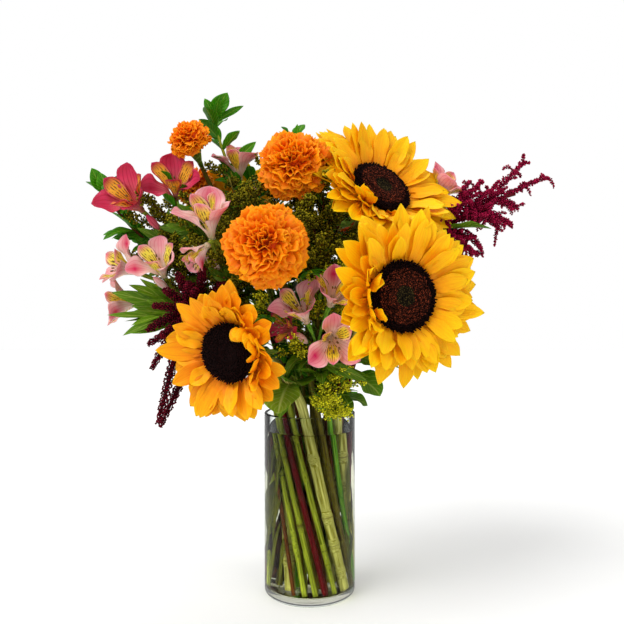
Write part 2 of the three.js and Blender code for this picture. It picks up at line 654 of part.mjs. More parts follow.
function amaranthStem(plant) {
  const { name, tip, strands, seed } = plant;
  const end = vector(tip);
  plant.routed = route(plant, "amaranth", end, new THREE.Vector3(end.x, end.y, 60));
  growStem(name, "amaranth", plant.routed);
  plant.bows = strands.map(([share, to, lift], i) => {
    const from = plant.routed.curve.getPoint(share);
    const target = vector(to);
    const rise = 0.1 * from.distanceTo(target) + 0.4 * lift;
    const middle = from.clone().lerp(target, 0.5).add(new THREE.Vector3(0, between(seed, i, -4, 4), rise));
    return new THREE.QuadraticBezierCurve3(from, middle, target);
  });
}

function amaranthStrands({ name, bows }) {
  const postures = [[0, 0], [0, 10], [0, -10], [10, 6], [-10, 6], [0, 20], [16, 0], [-16, 0]];
  for (const bow of bows) {
    const steps = Math.max(3, Math.round(bow.getLength() / 13));
    growClear(name, postures, ([y, z]) =>
      tassel(bow.getPoints(steps).map((p, i) => p.add(new THREE.Vector3(0, (y * i) / steps, (z * i) / steps)))),
    );
  }
}

function amaranthLeaves({ name, routed, leaves, seed }) {
  for (let i = 0; i < leaves; i++) {
    stemLeaf(name, LEAVES.amaranth, routed, 0.35 + (0.5 * i) / leaves, i * GOLDEN + 60 * seed, seed + i);
  }
}

// ---- Goldenrod ----
function goldenrodStem(plant) {
  const end = vector(plant.tip);
  plant.routed = route(plant, "goldenrod", end, new THREE.Vector3(0.6 * end.x, 0.6 * end.y, 160));
  growStem(plant.name, "goldenrod", plant.routed);
}

// Side branches climb round the stem's top, and each carries its florets as a bumpy plume that arches out.
function goldenrodPlume({ name, routed, reach, side, seed }) {
  const postures = [[1, 0], [0.8, 24], [0.8, -24], [0.62, 48], [0.62, -48], [0.45, 0], [0.3, 20]];
  for (let i = 0; i <= side; i++) {
    const share = 1 - (0.42 * (side - i)) / side;
    const from = routed.curve.getPoint(share);
    const stemWay = routed.curve.getTangent(share);
    const turn = (i * GOLDEN + 50 * seed) * DEG;
    const out = new THREE.Vector3(Math.cos(turn), Math.sin(turn), 0);
    const long = reach * (i === side ? 0.7 : 0.55 + 0.45 * Math.sin((Math.PI * (i + 1)) / side));
    growClear(name, postures, ([size, aside]) => {
      const way = out.clone().applyAxisAngle(new THREE.Vector3(0, 0, 1), aside * DEG);
      const along = (sideways, up) =>
        from.clone().addScaledVector(way, sideways * long * size).addScaledVector(stemWay, up * long * size);
      const path = new THREE.QuadraticBezierCurve3(from, along(0.6, 0.35), along(1, 0.62)).getPoints(3);
      const radii = [0.7, PLUME, PLUME, 1];
      radii.bump = (r, k) => ((r + k) % 2 ? 1.3 : 0.75);
      return tube(path, radii, 4);
    });
  }
}

// ---- Leafy branches ----
function branchStem(plant) {
  const end = vector(plant.tip);
  plant.routed = route(plant, "branch", end, new THREE.Vector3(0.5 * end.x, 0.5 * end.y, 200));
  growStem(plant.name, "branch", plant.routed);
}

function branchLeaves({ name, routed, pairs, from, seed }) {
  for (let i = 0; i < pairs; i++) {
    const share = from + ((1 - from) * (i + 0.6)) / pairs;
    for (const half of [0, 1]) {
      const turn = 90 * i + 180 * half + 35 * seed;
      stemLeaf(name, LEAVES.branch, routed, share, turn, seed + 0.31 * (2 * i + half));
    }
  }
  stemLeaf(name, LEAVES.tip, routed, 0.985, 35 * seed, seed + 9);
}

// ---- Assembly: stems first, then heads, then petals, and last what fills in between ----
vase();
SUNFLOWERS.forEach(sunflowerStem);
MARIGOLDS.forEach(marigoldStem);
ALSTROEMERIAS.forEach(alstroemeriaStem);
AMARANTHS.forEach(amaranthStem);
GOLDENRODS.forEach(goldenrodStem);
BRANCHES.forEach(branchStem);
SUNFLOWERS.forEach(sunflowerDisc);
MARIGOLDS.forEach(marigoldHead);
SUNFLOWERS.forEach(sunflowerPetals);
ALSTROEMERIAS.forEach((plant) =>
  plant.blooms.forEach((bloom, i) => alstroemeriaBloom(`${plant.name}_bloom_${i + 1}`, bloom, plant.seed + i)),
);
SUNFLOWERS.forEach(sunflowerGreens);
AMARANTHS.forEach(amaranthStrands);
AMARANTHS.forEach(amaranthLeaves);
ALSTROEMERIAS.forEach(alstroemeriaLeaves);
BRANCHES.forEach(branchLeaves);
GOLDENRODS.forEach(goldenrodPlume);
water();

const bouquet = new THREE.Group();
for (const [name, grown] of nodes) {
  const body = largest(wasm.Manifold.union(grown.map((one) => one.piece)));
  const { vertProperties, triVerts } = body.getMesh();
  const geometry = new THREE.BufferGeometry();
  geometry.setAttribute("position", new THREE.BufferAttribute(vertProperties, 3));
  geometry.setIndex(new THREE.BufferAttribute(triVerts, 1));
  const [, look] = LOOKS.find(([part]) => name.includes(part));
  const mesh = new THREE.Mesh(geometry, new THREE.MeshStandardMaterial({ metalness: 0, ...look }));
  mesh.name = name;
  bouquet.add(mesh);
}

export default bouquet;
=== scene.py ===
# A bouquet of sunflowers, marigolds, alstroemerias, amaranth and goldenrod in a clear glass cylinder.
# The tables are in millimetres, as in the part's source. Meshes are in metres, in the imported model's own frame.
from functools import partial

import bpy
import numpy as np
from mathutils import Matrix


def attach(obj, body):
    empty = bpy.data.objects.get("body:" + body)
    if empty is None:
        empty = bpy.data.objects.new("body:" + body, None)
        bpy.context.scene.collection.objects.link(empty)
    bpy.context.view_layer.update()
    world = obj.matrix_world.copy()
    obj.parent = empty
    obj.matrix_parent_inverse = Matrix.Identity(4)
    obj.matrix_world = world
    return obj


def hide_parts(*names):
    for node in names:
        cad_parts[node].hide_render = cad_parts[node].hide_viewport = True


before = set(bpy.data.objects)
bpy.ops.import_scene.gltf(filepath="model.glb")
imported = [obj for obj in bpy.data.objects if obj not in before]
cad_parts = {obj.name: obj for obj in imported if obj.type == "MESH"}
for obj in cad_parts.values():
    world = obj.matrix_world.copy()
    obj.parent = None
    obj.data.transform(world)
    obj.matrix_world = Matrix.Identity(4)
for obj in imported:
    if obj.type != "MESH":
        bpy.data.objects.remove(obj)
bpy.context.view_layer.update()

MM = 0.001
DEG = np.pi / 180
GOLDEN = 137.508  # degrees from one leaf, branch or floret to the next

# ---- The bouquet, as in the part's source ----
VASE = dict(radius=50.8, height=203, wall=3, floor=9.5, round=7, inside=4)
WATER_LEVEL = 183
GAP = 0.35  # between two solids
TWIST = 70  # degrees that a foot stands round from where its stem crosses the rim
FOOT_RISE = 0.24  # of a stem's radius, as it stands aslant
RIM_Z = VASE["height"]
RINGS = dict(outer=38.5, middle=25, inner=11)  # the circles that the stems cross the rim on
LEAVE = 0.4  # a stem's two handles, as shares of its reach
ARRIVE = 0.33
CORE = 6  # a sunflower's thickness behind its rays
CALYX = 0.5  # its calyx's depth, as a share of its disc
RAYS = 26
OBLATE = 0.82  # a marigold's height as a share of its width
MARIGOLD_BACK = 0.52  # how far it and its calyx reach back, as shares of its radius
MARIGOLD_CUP = 0.55
TASSEL = 4.2  # an amaranth strand's radius

# A stem thins to the share thin by its end.
STEMS = dict(
    sunflower=dict(radius=5.5, thin=0.8),
    marigold=dict(radius=3.2, thin=0.8),
    alstroemeria=dict(radius=2.8, thin=0.85),
    amaranth=dict(radius=3, thin=0.75),
    goldenrod=dict(radius=2.2, thin=0.75),
    branch=dict(radius=2.2, thin=0.8),
)
# rises has the slopes that a leaf tries in the source, to stay clear of its neighbours.
LEAVES = dict(
    sunflower=dict(length=62, width=44, rises=(20, 5, 35, -15, 50, -30)),
    amaranth=dict(length=60, width=28, rises=(20, 5, 35, -15, 50, -30)),
    alstroemeria=dict(length=58, width=16, rises=(35, 15, 55, -5)),
    branch=dict(length=36, width=18, rises=(48, 30, 62, 10)),
    tip=dict(length=34, width=17, rises=(74, 60, 50)),
)
ASIDES = ((0, 1), (22, 0.9), (-22, 0.9), (45, 0.8))  # and how far it turns and shrinks at each
# The posture that each leaf took there, where it isn't the first.
BENT = {
    ("sunflower_front", 1): 1, ("sunflower_back", 0): 2,
    ("amaranth_left", 0): 10, ("amaranth_left", 2): 1, ("amaranth_rear", 1): 2,
    ("alstroemeria_low", 1): 3, ("alstroemeria_low", 2): 1, ("alstroemeria_middle", 2): 4,
    ("alstroemeria_front", 1): 2, ("alstroemeria_front", 3): 1, ("alstroemeria_right", 0): 4,
    ("alstroemeria_right", 1): 1, ("alstroemeria_rear", 0): 1,
    ("branch_top", 2): 3, ("branch_top", 3): 2, ("branch_top", 5): 2,
    ("branch_left", 1): 2, ("branch_left", 3): 2, ("branch_left", 6): 2, ("branch_centre", 5): 10,
}

# A leaf has its share of the stem and the way it points. Rays curl most towards curled and are longest
# towards far.
SUNFLOWERS = [
    dict(name="sunflower_front", ring="outer", at=322, head=(88, -128, 331), face=(0.36, -0.9, 0.02),
         disc=33, petal=50, curled=180, fold=0.62, wide=1.15, far=60, more=0.06, least=0.78,
         leaves=((0.3, 5), (0.55, 60)), seed=1),
    dict(name="sunflower_right", ring="middle", at=345, head=(75, -48, 445), face=(0.42, -0.66, 0.55),
         disc=32, petal=54, curled=215, fold=0.2, wide=1.15, far=45, more=0.2, least=0.82,
         leaves=((0.45, 20), (0.7, 60)), seed=2),
    dict(name="sunflower_left", ring="outer", at=262, head=(-77, -115, 277), face=(-0.42, -0.88, -0.12),
         disc=28, petal=42, curled=25, fold=1.3, wide=1.45, far=200, more=0.12, least=0.68, shut=True,
         layers=3, leaves=((0.3, 282), (0.6, 215)), seed=3),
    dict(name="sunflower_back", ring="middle", at=155, head=(-92, 88, 437), face=(-0.35, 0.72, 0.55),
         disc=28, petal=42, curled=200, fold=1, wide=1.1, far=270, more=0.1, least=0.8,
         leaves=((0.4, 130),), seed=4),
]
MARIGOLDS = [
    dict(name="marigold_centre", ring="outer", at=284, head=(-41, -125, 380), face=(-0.12, -0.93, 0.25),
         radius=43, seed=11),
    dict(name="marigold_top", ring="inner", at=285, head=(-16, -55, 468), face=(-0.05, -0.75, 0.62),
         radius=42, seed=12),
    dict(name="marigold_small", ring="middle", at=213, head=(-131, -20, 503), face=(-0.3, -0.55, 0.75),
         radius=25, seed=13),
    dict(name="marigold_side", ring="middle", at=188, head=(-133, 32, 460), face=(-0.45, -0.2, 0.85),
         radius=26, seed=14),
    dict(name="marigold_back", ring="middle", at=105, head=(48, 108, 440), face=(0.25, 0.8, 0.5),
         radius=38, seed=15),
]
# fork is where the pedicels part, and each bloom has its own place, face and size. further has blooms that
# the source leaves out, and dark is the number of a deep pink one. A fan of leaves has its share of the stem,
# the way it points, its leaves' face, their number, how far they spread, and their length, width and curl.
ALSTROEMERIAS = [
    dict(name="alstroemeria_left", ring="outer", at=193, fork=(-150, -8, 385), leaves=4, seed=21, deep=True,
         fans=((0.985, (-0.15, -0.3, 0.9), (0.1, -1, 0.2), 9, 60, 54, 13, -30),
               (0.93, (-0.9, -0.2, 0.2), (0, -0.9, 0.5), 5, 45, 38, 11, -40)),
         blooms=(((-184, -12, 426), (-0.4, -0.8, 0.45), 1.25), ((-148, -6, 440), (0.05, -0.78, 0.62), 1.15))),
    dict(name="alstroemeria_low", ring="outer", at=209, fork=(-135, -32, 318), leaves=5, seed=22,
         fans=((0.99, (-0.97, -0.15, -0.06), (-0.1, -0.8, 0.7), 9, 24, 66, 14, -30),
               (0.985, (-0.5, -0.2, 0.8), (0, -1, 0.4), 6, 60, 40, 11, -35),
               (0.995, (-0.9, -0.1, 0.4), (0, -1, 0.5), 1, 0, 90, 17, -20),
               (0.995, (-0.92, -0.1, 0.3), (0, -1, 0.5), 5, 20, 64, 16, -20),
               (0.995, (-0.84, -0.1, 0.56), (0, -1, 0.5), 6, 16, 62, 15, -20),
               (0.97, (-0.98, -0.1, 0.1), (0, -1, 0.5), 3, 10, 76, 15, -20)),
         blooms=(((-153, -45, 352), (-0.2, -0.72, 0.66), 1), ((-185, -25, 357), (-0.8, -0.5, 0.35), 1),
                 ((-188, -8, 325), (-0.92, -0.28, -0.05), 1))),
    dict(name="alstroemeria_middle", ring="outer", at=240, fork=(-82, -62, 345), leaves=4, seed=23, steep=10,
         fans=((0.98, (-0.3, -0.4, 0.85), (0, -1, 0.3), 4, 40, 40, 12, -30),),
         blooms=(((-98, -80, 388), (-0.06, -0.6, 0.8), 1.25),),
         further=(((-101, -86, 384), (-0.55, -0.45, -0.7), 0.72),)),
    dict(name="alstroemeria_front", ring="outer", at=303, fork=(8, -72, 270), leaves=4, seed=24, rose=True,
         fans=((0.8, (0.3, -0.5, 0.6), (0, -1, 0.4), 7, 95, 36, 12, -40),
               (0.92, (0.95, -0.2, -0.05), (0, -1, 0.3), 3, 14, 66, 14, -15),
               (0.95, (-0.95, 0.15, 0.2), (0, -1, 0.3), 2, 8, 62, 14, -15)),
         blooms=(((-2, -92, 305), (-0.35, -0.6, 0.72), 1), ((20, -100, 291), (0.12, -0.97, -0.1), 1)),
         further=(((20, -96, 322), (0.25, -0.75, 0.62), 0.95), ((-16, -84, 297), (-0.5, -0.8, 0.3), 0.66)),
         dark=4),
    dict(name="alstroemeria_top", ring="inner", at=120, fork=(-45, 28, 425), leaves=3, seed=25, rose=True,
         blooms=(((-80, 16, 464), (-0.05, -0.3, 0.95), 1), ((-15, 50, 470), (0.2, 0.3, 0.93), 1))),
    dict(name="alstroemeria_right", ring="outer", at=30, fork=(105, 40, 400), leaves=4, seed=26, rose=True,
         fans=((0.985, (0.95, -0.1, 0.1), (0.2, -0.8, 0.6), 9, 40, 70, 16, -20),),
         blooms=(((137, 12, 440), (0.55, -0.35, 0.75), 1), ((120, 60, 425), (0.6, 0.6, 0.5), 1))),
    dict(name="alstroemeria_rear", ring="outer", at=118, fork=(-75, 105, 335), leaves=5, seed=27,
         blooms=(((-105, 125, 365), (-0.6, 0.65, 0.45), 1),)),
]
# Each strand has its start along the stem, its end and how far it bows up. small has further strands.
AMARANTHS = [
    dict(name="amaranth_right", ring="outer", at=352, tip=(232, 8, 448), leaves=3, seed=31, feathered=True,
         strands=((0.97, (268, 8, 466), 0), (0.9, (243, 6, 484), 0), (0.8, (218, 2, 452), -6),
                  (0.75, (222, -4, 415), 12), (0.62, (188, 2, 380), 14), (0.6, (150, 14, 430), 0),
                  (0.5, (166, -14, 362), 10)),
         small=((0.7, (178, -8, 460), 4), (0.78, (205, -10, 452), 4), (0.62, (166, -14, 436), 6),
                (0.74, (196, -16, 420), 8), (0.66, (186, -14, 376), 18), (0.84, (224, -12, 408), 14),
                (0.9, (234, 0, 430), 10), (0.58, (160, -16, 400), 8), (0.8, (208, -8, 408), 14),
                (0.6, (182, -14, 396), 10), (0.56, (174, -12, 384), 10), (0.8, (214, -6, 404), 44),
                (0.68, (190, -8, 384), 40), (0.9, (226, -4, 424), 40),
                (0.62, (186, -10, 446), 4), (0.58, (164, -12, 424), 4), (0.66, (192, -10, 460), 4)),
         fans=((0.56, (0.8, -0.2, 0.3), (0, -1, 0.5), 4, 40, 32, 17, -30),)),
    dict(name="amaranth_left", ring="outer", at=224, tip=(-128, -66, 318), leaves=3, seed=32,
         strands=((0.98, (-168, -66, 296), 0), (0.85, (-166, -70, 282), 0), (0.75, (-155, -62, 196), 16),
                  (0.9, (-120, -70, 345), 0), (0.6, (-140, -72, 262), 8)),
         small=((0.95, (-132, -86, 354), 4), (0.9, (-106, -92, 360), 6), (0.88, (-84, -92, 348), 8),
                (0.92, (-114, -94, 338), 10), (0.8, (-158, -84, 322), 6), (0.97, (-146, -88, 338), 6),
                (0.85, (-96, -92, 330), 8), (0.8, (-74, -90, 336), 10), (0.99, (-120, -90, 346), 4),
                (0.9, (-132, -92, 322), 8), (0.7, (-84, -88, 320), 6), (0.75, (-104, -90, 318), 6),
                (0.98, (-154, -78, 202), -4), (0.96, (-160, -80, 258), 4), (0.9, (-150, -84, 290), 6)),
         fans=((0.8, (-0.7, -0.5, 0.4), (0, -1, 0.5), 4, 70, 40, 15, -40),)),
    dict(name="amaranth_rear", ring="outer", at=80, tip=(70, 150, 370), leaves=2, seed=33,
         strands=((0.98, (92, 185, 392), 0), (0.85, (110, 160, 352), 0), (0.8, (50, 175, 330), 10),
                  (0.65, (92, 142, 300), 14))),
]
GOLDENRODS = [
    dict(name="goldenrod_left", ring="middle", at=238, tip=(-120, -48, 412), reach=50, side=6, seed=41,
         shoots=((0.4, (-152, -22, 388)), (0.45, (-104, -72, 378)), (0.6, (-140, 6, 425)), (0.35, (-166, -14, 366)),
                 (0.5, (-106, -40, 424)), (0.5, (-168, -6, 408)), (0.5, (-170, 2, 434)),
                 (0.5, (-160, -18, 424))),
         fans=((0.96, (-0.75, -0.3, 0.65), (0.15, -1, 0.2), 8, 50, 54, 14, -25),)),
    dict(name="goldenrod_centre", ring="inner", at=245, tip=(-62, -48, 446), reach=46, side=6, seed=42,
         shoots=((0.5, (-88, -22, 462)), (0.55, (-34, -14, 468)), (0.3, (-92, -60, 330)))),
    dict(name="goldenrod_right", ring="inner", at=330, tip=(16, -48, 420), reach=48, side=6, seed=43,
         shoots=((0.45, (36, -52, 384)), (0.6, (44, -22, 446)), (0.4, (6, -66, 398)), (0.5, (12, -24, 450)),
                 (0.7, (14, -52, 440)), (0.4, (-10, -60, 416)), (0.6, (2, -40, 436)))),
    dict(name="goldenrod_front", ring="middle", at=288, open=True, tip=(12, -82, 352), reach=40, side=5, seed=44,
         shoots=((0.3, (-8, -84, 282)), (0.4, (-44, -80, 322)), (0.5, (24, -60, 330)))),
    dict(name="goldenrod_low", ring="middle", at=313, open=True, tip=(32, -72, 248), reach=25, side=4, seed=45,
         shoots=((0.1, (30, -66, 212)), (0.35, (16, -76, 226)))),
    dict(name="goldenrod_back", ring="inner", at=60, tip=(14, 80, 405), bend=(16, 0, 0), reach=50, side=5,
         fans=((0.1, (-0.3, 0.1, 0.95), (0, -1, 0.2), 7, 35, 64, 20, -15),
               (0.03, (-0.35, 0.1, 0.9), (0, -1, 0.2), 4, 30, 48, 26, -10),
               (0.03, (0.1, 0.1, 0.95), (0, -1, 0.2), 3, 20, 48, 24, -10)),
         seed=46, shoots=((0.5, (72, 58, 410)), (0.5, (-44, 66, 428)), (0.35, (0, 112, 352)))),
]
# Leaves stand in pairs from the share low of the stem to its tip. A shoot has its share of the stem and its
# end.
BRANCHES = [
    dict(name="branch_top", ring="inner", at=180, green=True, tip=(-110, 15, 534), pairs=4, low=0.68, seed=51,
         whorl=0, fans=((0.99, (-0.45, -0.25, 0.87), (0.2, -1, 0.3), 1, 0, 38, 13, -20),
               (0.995, (0.62, -0.2, 0.78), (0, -1, 0.3), 1, 0, 46, 22, -20),
               (0.99, (0.0, -0.3, 0.95), (0, -1, 0.3), 1, 0, 30, 12, -20),
               (0.985, (0.85, -0.2, 0.5), (0, -1, 0.5), 1, 0, 38, 9, -20),
               (0.93, (-0.65, -0.3, 0.75), (0, -1, 0.3), 2, 12, 34, 16, -20),
               (0.82, (0.85, -0.3, 0.5), (0, -1, 0.4), 1, 0, 42, 14, -25),
               (0.8, (-0.65, -0.3, 0.6), (0, -1, 0.3), 1, 0, 28, 13, -25),
               (0.7, (0.6, -0.3, 0.6), (0, -1, 0.3), 4, 80, 30, 13, -30),
               (0.77, (-0.5, -0.3, 0.7), (0, -1, 0.3), 3, 50, 28, 13, -30)),
         shoots=((0.45, (-70, 34, 470)), (0.35, (-120, 40, 400)))),
    dict(name="branch_left", ring="outer", at=176, tip=(-228, -8, 448), bend=(0, 16, 0), pairs=4, low=0.5,
         fans=((0.99, (0.0, -0.3, 0.95), (-0.1, -1, 0.3), 7, 42, 36, 18, -25),
               (0.82, (-0.9, -0.25, 0.2), (0, -0.9, 0.6), 7, 45, 38, 12, -35),
               (0.74, (-0.4, -0.4, 0.8), (0, -1, 0.5), 6, 70, 34, 13, -35)),
         seed=52, shoots=((0.6, (-196, 14, 402)), (0.5, (-150, -14, 452)), (0.3, (-132, 34, 336)))),
    dict(name="branch_centre", ring="inner", at=20, tip=(-18, 28, 513), pairs=3, low=0.55, seed=53,
         fans=((0.99, (0.1, -0.2, 1), (0, -1, 0.3), 3, 50, 26, 14, -25),
               (0.12, (-0.1, -0.4, 0.9), (0, -1, 0.3), 10, 60, 58, 18, -20),
               (0.32, (-0.15, -0.3, 0.9), (0, -1, 0.3), 9, 60, 62, 20, -20)),
         shoots=((0.4, (46, 10, 462)), (0.3, (26, -30, 352)), (0.2, (60, -20, 330)))),
    dict(name="branch_back", ring="outer", at=58, tip=(118, 128, 455), pairs=4, low=0.45, seed=54,
         shoots=((0.4, (134, 60, 392)), (0.55, (66, 136, 470)), (0.25, (112, 20, 330)))),
]


# ---- Draws, directions and curves ----
def draw(seed, k):
    """A repeatable draw from 0 to 1 for item k of a plant: the fraction of a very fast sine."""
    wide = np.sin(np.asarray(seed) * 12.9898 + np.asarray(k) * 78.233) * 43758.5453
    return wide - np.floor(wide)


def between(seed, k, low, high):
    """The same draw, spread from low to high."""
    return low + (high - low) * draw(seed, k)


def varied(seed, number):
    """The draws of many items by their numbers: the key k picks one of each item's draws."""
    return lambda k, low=0, high=1: between(seed, number + k, low, high)


def unit(v):
    """Vectors divided by their own lengths."""
    return v / np.linalg.norm(v, axis=-1, keepdims=True)


def polar(radius, turn, height):
    """Points at a radius, a turn in degrees round Z, and a height."""
    return np.stack(np.broadcast_arrays(radius * np.cos(turn * DEG), radius * np.sin(turn * DEG), height), axis=-1)


def looking(origin, face):
    """A frame at each origin whose +Z looks along face, with +Y as near to upright as it goes."""
    z = unit(np.asarray(face, float))
    upright = np.where(np.abs(z[..., 2:]) > 0.98, (0.0, 1.0, 0.0), (0.0, 0.0, 1.0))
    x = unit(np.cross(upright, z))
    return np.asarray(origin, float), np.stack([x, np.cross(z, x), z], axis=-2)


def standing(origin, turn):
    """A frame at each origin, upright, whose +Y points a way round the compass, in degrees."""
    turn = np.asarray(turn, float)
    x = polar(1.0, turn - 90, 0.0)
    y = polar(1.0, turn, 0.0)
    return np.asarray(origin, float), np.stack([x, y, np.broadcast_to((0.0, 0.0, 1.0), x.shape)], axis=-2)


def facing(origin, way, face):
    """A frame at each origin whose +Y points along way, with +Z as near to face as it goes."""
    y = unit(np.asarray(way, float))
    x = unit(np.cross(y, np.asarray(face, float)))
    return np.asarray(origin, float), np.stack([x, y, np.cross(x, y)], axis=-2)


def head_of(flower):
    """A flower's own frame: its heart at the origin, and its face along +Z."""
    return looking(flower["head"], flower["face"])


def behind(flower, depth):
    """The point straight behind a flower's heart at a depth."""
    return placed(np.array([[[0.0, 0.0, -depth]]]), head_of(flower))[0, 0]


def placed(points, axes):
    """Points in a frame's own axes, (piece, row, place round, xyz), moved to where the frame stands."""
    origin, turned_axes = axes
    return origin[..., None, None, :] + points @ turned_axes[..., None, :, :]


def bezier(controls, share):
    """Points on a Bezier curve of any degree at shares of its run: each round of the controls is the mean of
    neighbours in the round before, weighted by the share."""
    points = np.asarray(controls, float)[..., None, :]
    share = np.asarray(share, float)[:, None]
    while points.shape[-3] > 1:
        points = points[..., :-1, :, :] * (1 - share) + points[..., 1:, :, :] * share
    return points[..., 0, :, :]


def way_along(controls, share):
    """The unit tangent of the same curve, from the differences of its controls."""
    return unit(bezier(np.diff(np.asarray(controls, float), axis=-2), share))


# ---- Skins: closed surfaces on grids ----
def skin(rings, grain, finish=0, zipped=False):
    """Closed skins from rings of points, (piece, row, place round, xyz). Quads join each row to the next. The first
    row is drawn together into a pole with a fan of triangles round it. So is the last, or it is zipped: its near
    and far sides, which mirror each other about the first point, are joined straight across."""
    count, rows, around = rings.shape[:3]
    kept = rows - 1 if zipped else rows - 2
    body = count * kept * around
    grid = np.arange(body).reshape(count, kept, around)
    turned_grid = np.roll(grid, -1, axis=2)
    quads = np.stack([grid[:, :-1], turned_grid[:, :-1], turned_grid[:, 1:], grid[:, 1:]], axis=-1).reshape(-1, 4)
    pole = np.broadcast_to(body + np.arange(count)[:, None], (count, around))
    triangles = [np.stack([turned_grid[:, 0], grid[:, 0], pole], axis=-1).reshape(-1, 3)]
    fields = rings, np.broadcast_to(grain, rings.shape)
    values = [[field[:, 1:kept + 1].reshape(-1, 3), field[:, 0].mean(1)] for field in fields]
    end, half = grid[:, -1], around // 2
    if zipped:
        k = np.arange(1, half - 1)
        across = np.stack([end[:, k], end[:, k + 1], end[:, around - k - 1], end[:, around - k]], axis=-1)
        quads = np.concatenate([quads, across.reshape(-1, 4)])
        triangles += [end[:, [0, 1, around - 1]], end[:, [half - 1, half, half + 1]]]
    else:
        triangles.append(np.stack([end, turned_grid[:, -1], pole + count], axis=-1).reshape(-1, 3))
        for value, field in zip(values, fields):
            value.append(field[:, -1].mean(1))
    points, marked = (np.concatenate(value) for value in values)
    return points, quads, np.concatenate(triangles), marked, finish


def marks(rings, tint=0.5):
    """What a material reads at each point: its share of the way along, its share round, and its piece's draw."""
    rows, around = rings.shape[1:3]
    along = np.linspace(0, 1, rows)[None, :, None]
    across = np.linspace(0, 1, around)[None, None, :]
    tint = np.asarray(tint)
    tint = tint if tint.ndim == 3 else tint.reshape(-1, 1, 1)
    return np.stack(np.broadcast_arrays(along, across, tint), axis=-1)


def set_in(rings, *frames, tint=0.5, tone=1, finish=0):
    """The skin of rings that stand in one frame after another. tone scales the marks that a material reads."""
    grain = marks(rings, tint) * tone
    for axes in frames:
        rings = placed(rings, axes)
    return skin(rings, grain, finish)


def turned(profile, around):
    """Rings turned round +Z from pairs of radius and height."""
    radius, height = np.array(profile, float).T[:, :, None]
    turn = 2 * np.pi * np.arange(around) / around
    return np.stack(np.broadcast_arrays(radius * np.cos(turn), radius * np.sin(turn), height), axis=-1)[None]


def scattered(shape, wide, tall, axes, tint):
    """Many copies of a small turned shape, each with its own width, height, frame and draw: rings and marks."""
    size = np.stack([wide, wide, tall], axis=-1).reshape(-1, 1, 1, 3)
    rings = placed(shape * size, axes)
    return rings, np.broadcast_to(marks(shape, tint), rings.shape)


def rod(path, radii, around, *frames, ribs=0, rib=0.0, **look):
    """Round rods with flat ends along paths, (piece, row, xyz). The section's side is the normal of the plane that
    the path bends in, kept square to the path. ribs is how many ridges run along it, and rib their height as a
    share of the radius."""
    path = path.reshape(-1, *path.shape[-2:])
    tangent = unit(np.gradient(path, axis=1))
    plane = np.cross(tangent[:, :1], tangent[:, -1:]) + 0.001 * np.cross((1.0, 0.3, 0.1), tangent[:, :1])
    side = unit(plane - np.sum(plane * tangent, axis=-1, keepdims=True) * tangent)
    other = np.cross(tangent, side)
    turn = (2 * np.pi * np.arange(around) / around)[:, None]
    reach = np.asarray(radii)[..., None, None] * (1 + rib * np.cos(ribs * turn))
    rings = path[:, :, None] + reach * (np.cos(turn) * side[:, :, None] + np.sin(turn) * other[:, :, None])
    return set_in(np.concatenate([rings[:, :1], rings, rings[:, -1:]], axis=1), *frames, **look)


def blades(rows, around, outline, thick, **shape):
    """Petals or leaves as thin closed rings with their roots at the origin, growing along +Y and facing +Z, and
    the marks along, across and tint that a material reads. The rib is an arc that starts at the slope rise and
    turns by curl by its tip. A section is a flat ellipse laid across the rib, as wide as the outline there. Cup
    lifts its edges, crease sinks its middle, pleat folds it lengthwise, ripple waves its edges, twist turns it
    round the rib and sway bends it to one side."""
    plain = dict(cup=0, crease=0, pleat=0, ripple=0, waves=2, phase=0, twist=0, sway=0, tint=0.5)
    of = {key: np.reshape(np.asarray(number, float), (-1, 1, 1)) for key, number in {**plain, **shape}.items()}
    s = np.concatenate([[0.0], np.linspace(0, 1, rows)])[None, :, None]  # the root twice, for a flat end
    round_way = 2 * np.pi * np.arange(around) / around
    u, top = np.cos(round_way), -np.sin(round_way)
    edge = np.abs(u)
    start, curl = of["rise"] * DEG, of["curl"] * DEG
    curl = np.where(np.abs(curl) < 0.01, 0.01, curl)
    slope = start + curl * s
    bow = of["length"] / curl
    half = of["width"] / 2 * outline(s)
    wave = np.sin(2 * np.pi * of["waves"] * s + of["phase"] + 2.1 * (u > 0))
    lift = half * (
        of["cup"] * edge**1.8
        - of["crease"] * (1 - edge) ** 2
        + of["pleat"] * np.cos(2 * np.pi * u) * (1 - s)
        + of["ripple"] * edge**2 * wave * np.sqrt(np.clip(4 * s * (1 - s), 0, 1))
    ) + 0.5 * thick * top * (1 - s**6)
    lean = of["twist"] * DEG * s
    sideways = u * half * np.cos(lean) + lift * np.sin(lean) + of["sway"] * of["length"] * s**2
    up = lift * np.cos(lean) - u * half * np.sin(lean)
    rings = np.stack(np.broadcast_arrays(
        sideways,
        bow * (np.sin(slope) - np.sin(start)) - up * np.sin(slope),
        bow * (np.cos(start) - np.cos(slope)) + up * np.cos(slope),
    ), axis=-1)
    return rings, np.stack(np.broadcast_arrays(s, u, of["tint"]), axis=-1)


def grown(rows, around, outline, thick, *frames, finish=0, **shape):
    """The skin of such blades, which stand in one frame after another."""
    rings, grain = blades(rows, around, outline, thick, **shape)
    for axes in frames:
        rings = placed(rings, axes)
    return skin(rings, grain, finish)


def outline_of(root, widening, tip, power=1):
    """How a blade's width runs from its root at 0 to its tip at 1: the root's width and a part that grows with a
    power of the share, times what the share to the power tip leaves of one."""
    return lambda s: (root + widening * s**power) * (1 - s**tip)


RAY_OUTLINE = outline_of(0.42, 1.1, 2.9)
TEPAL_OUTLINE = outline_of(0.16, 2.1, 4, power=1.7)
LEAF_OUTLINE = outline_of(0.09, 2.5, 1.6)
ROUND_OUTLINE = outline_of(0.12, 2.3, 2.4)


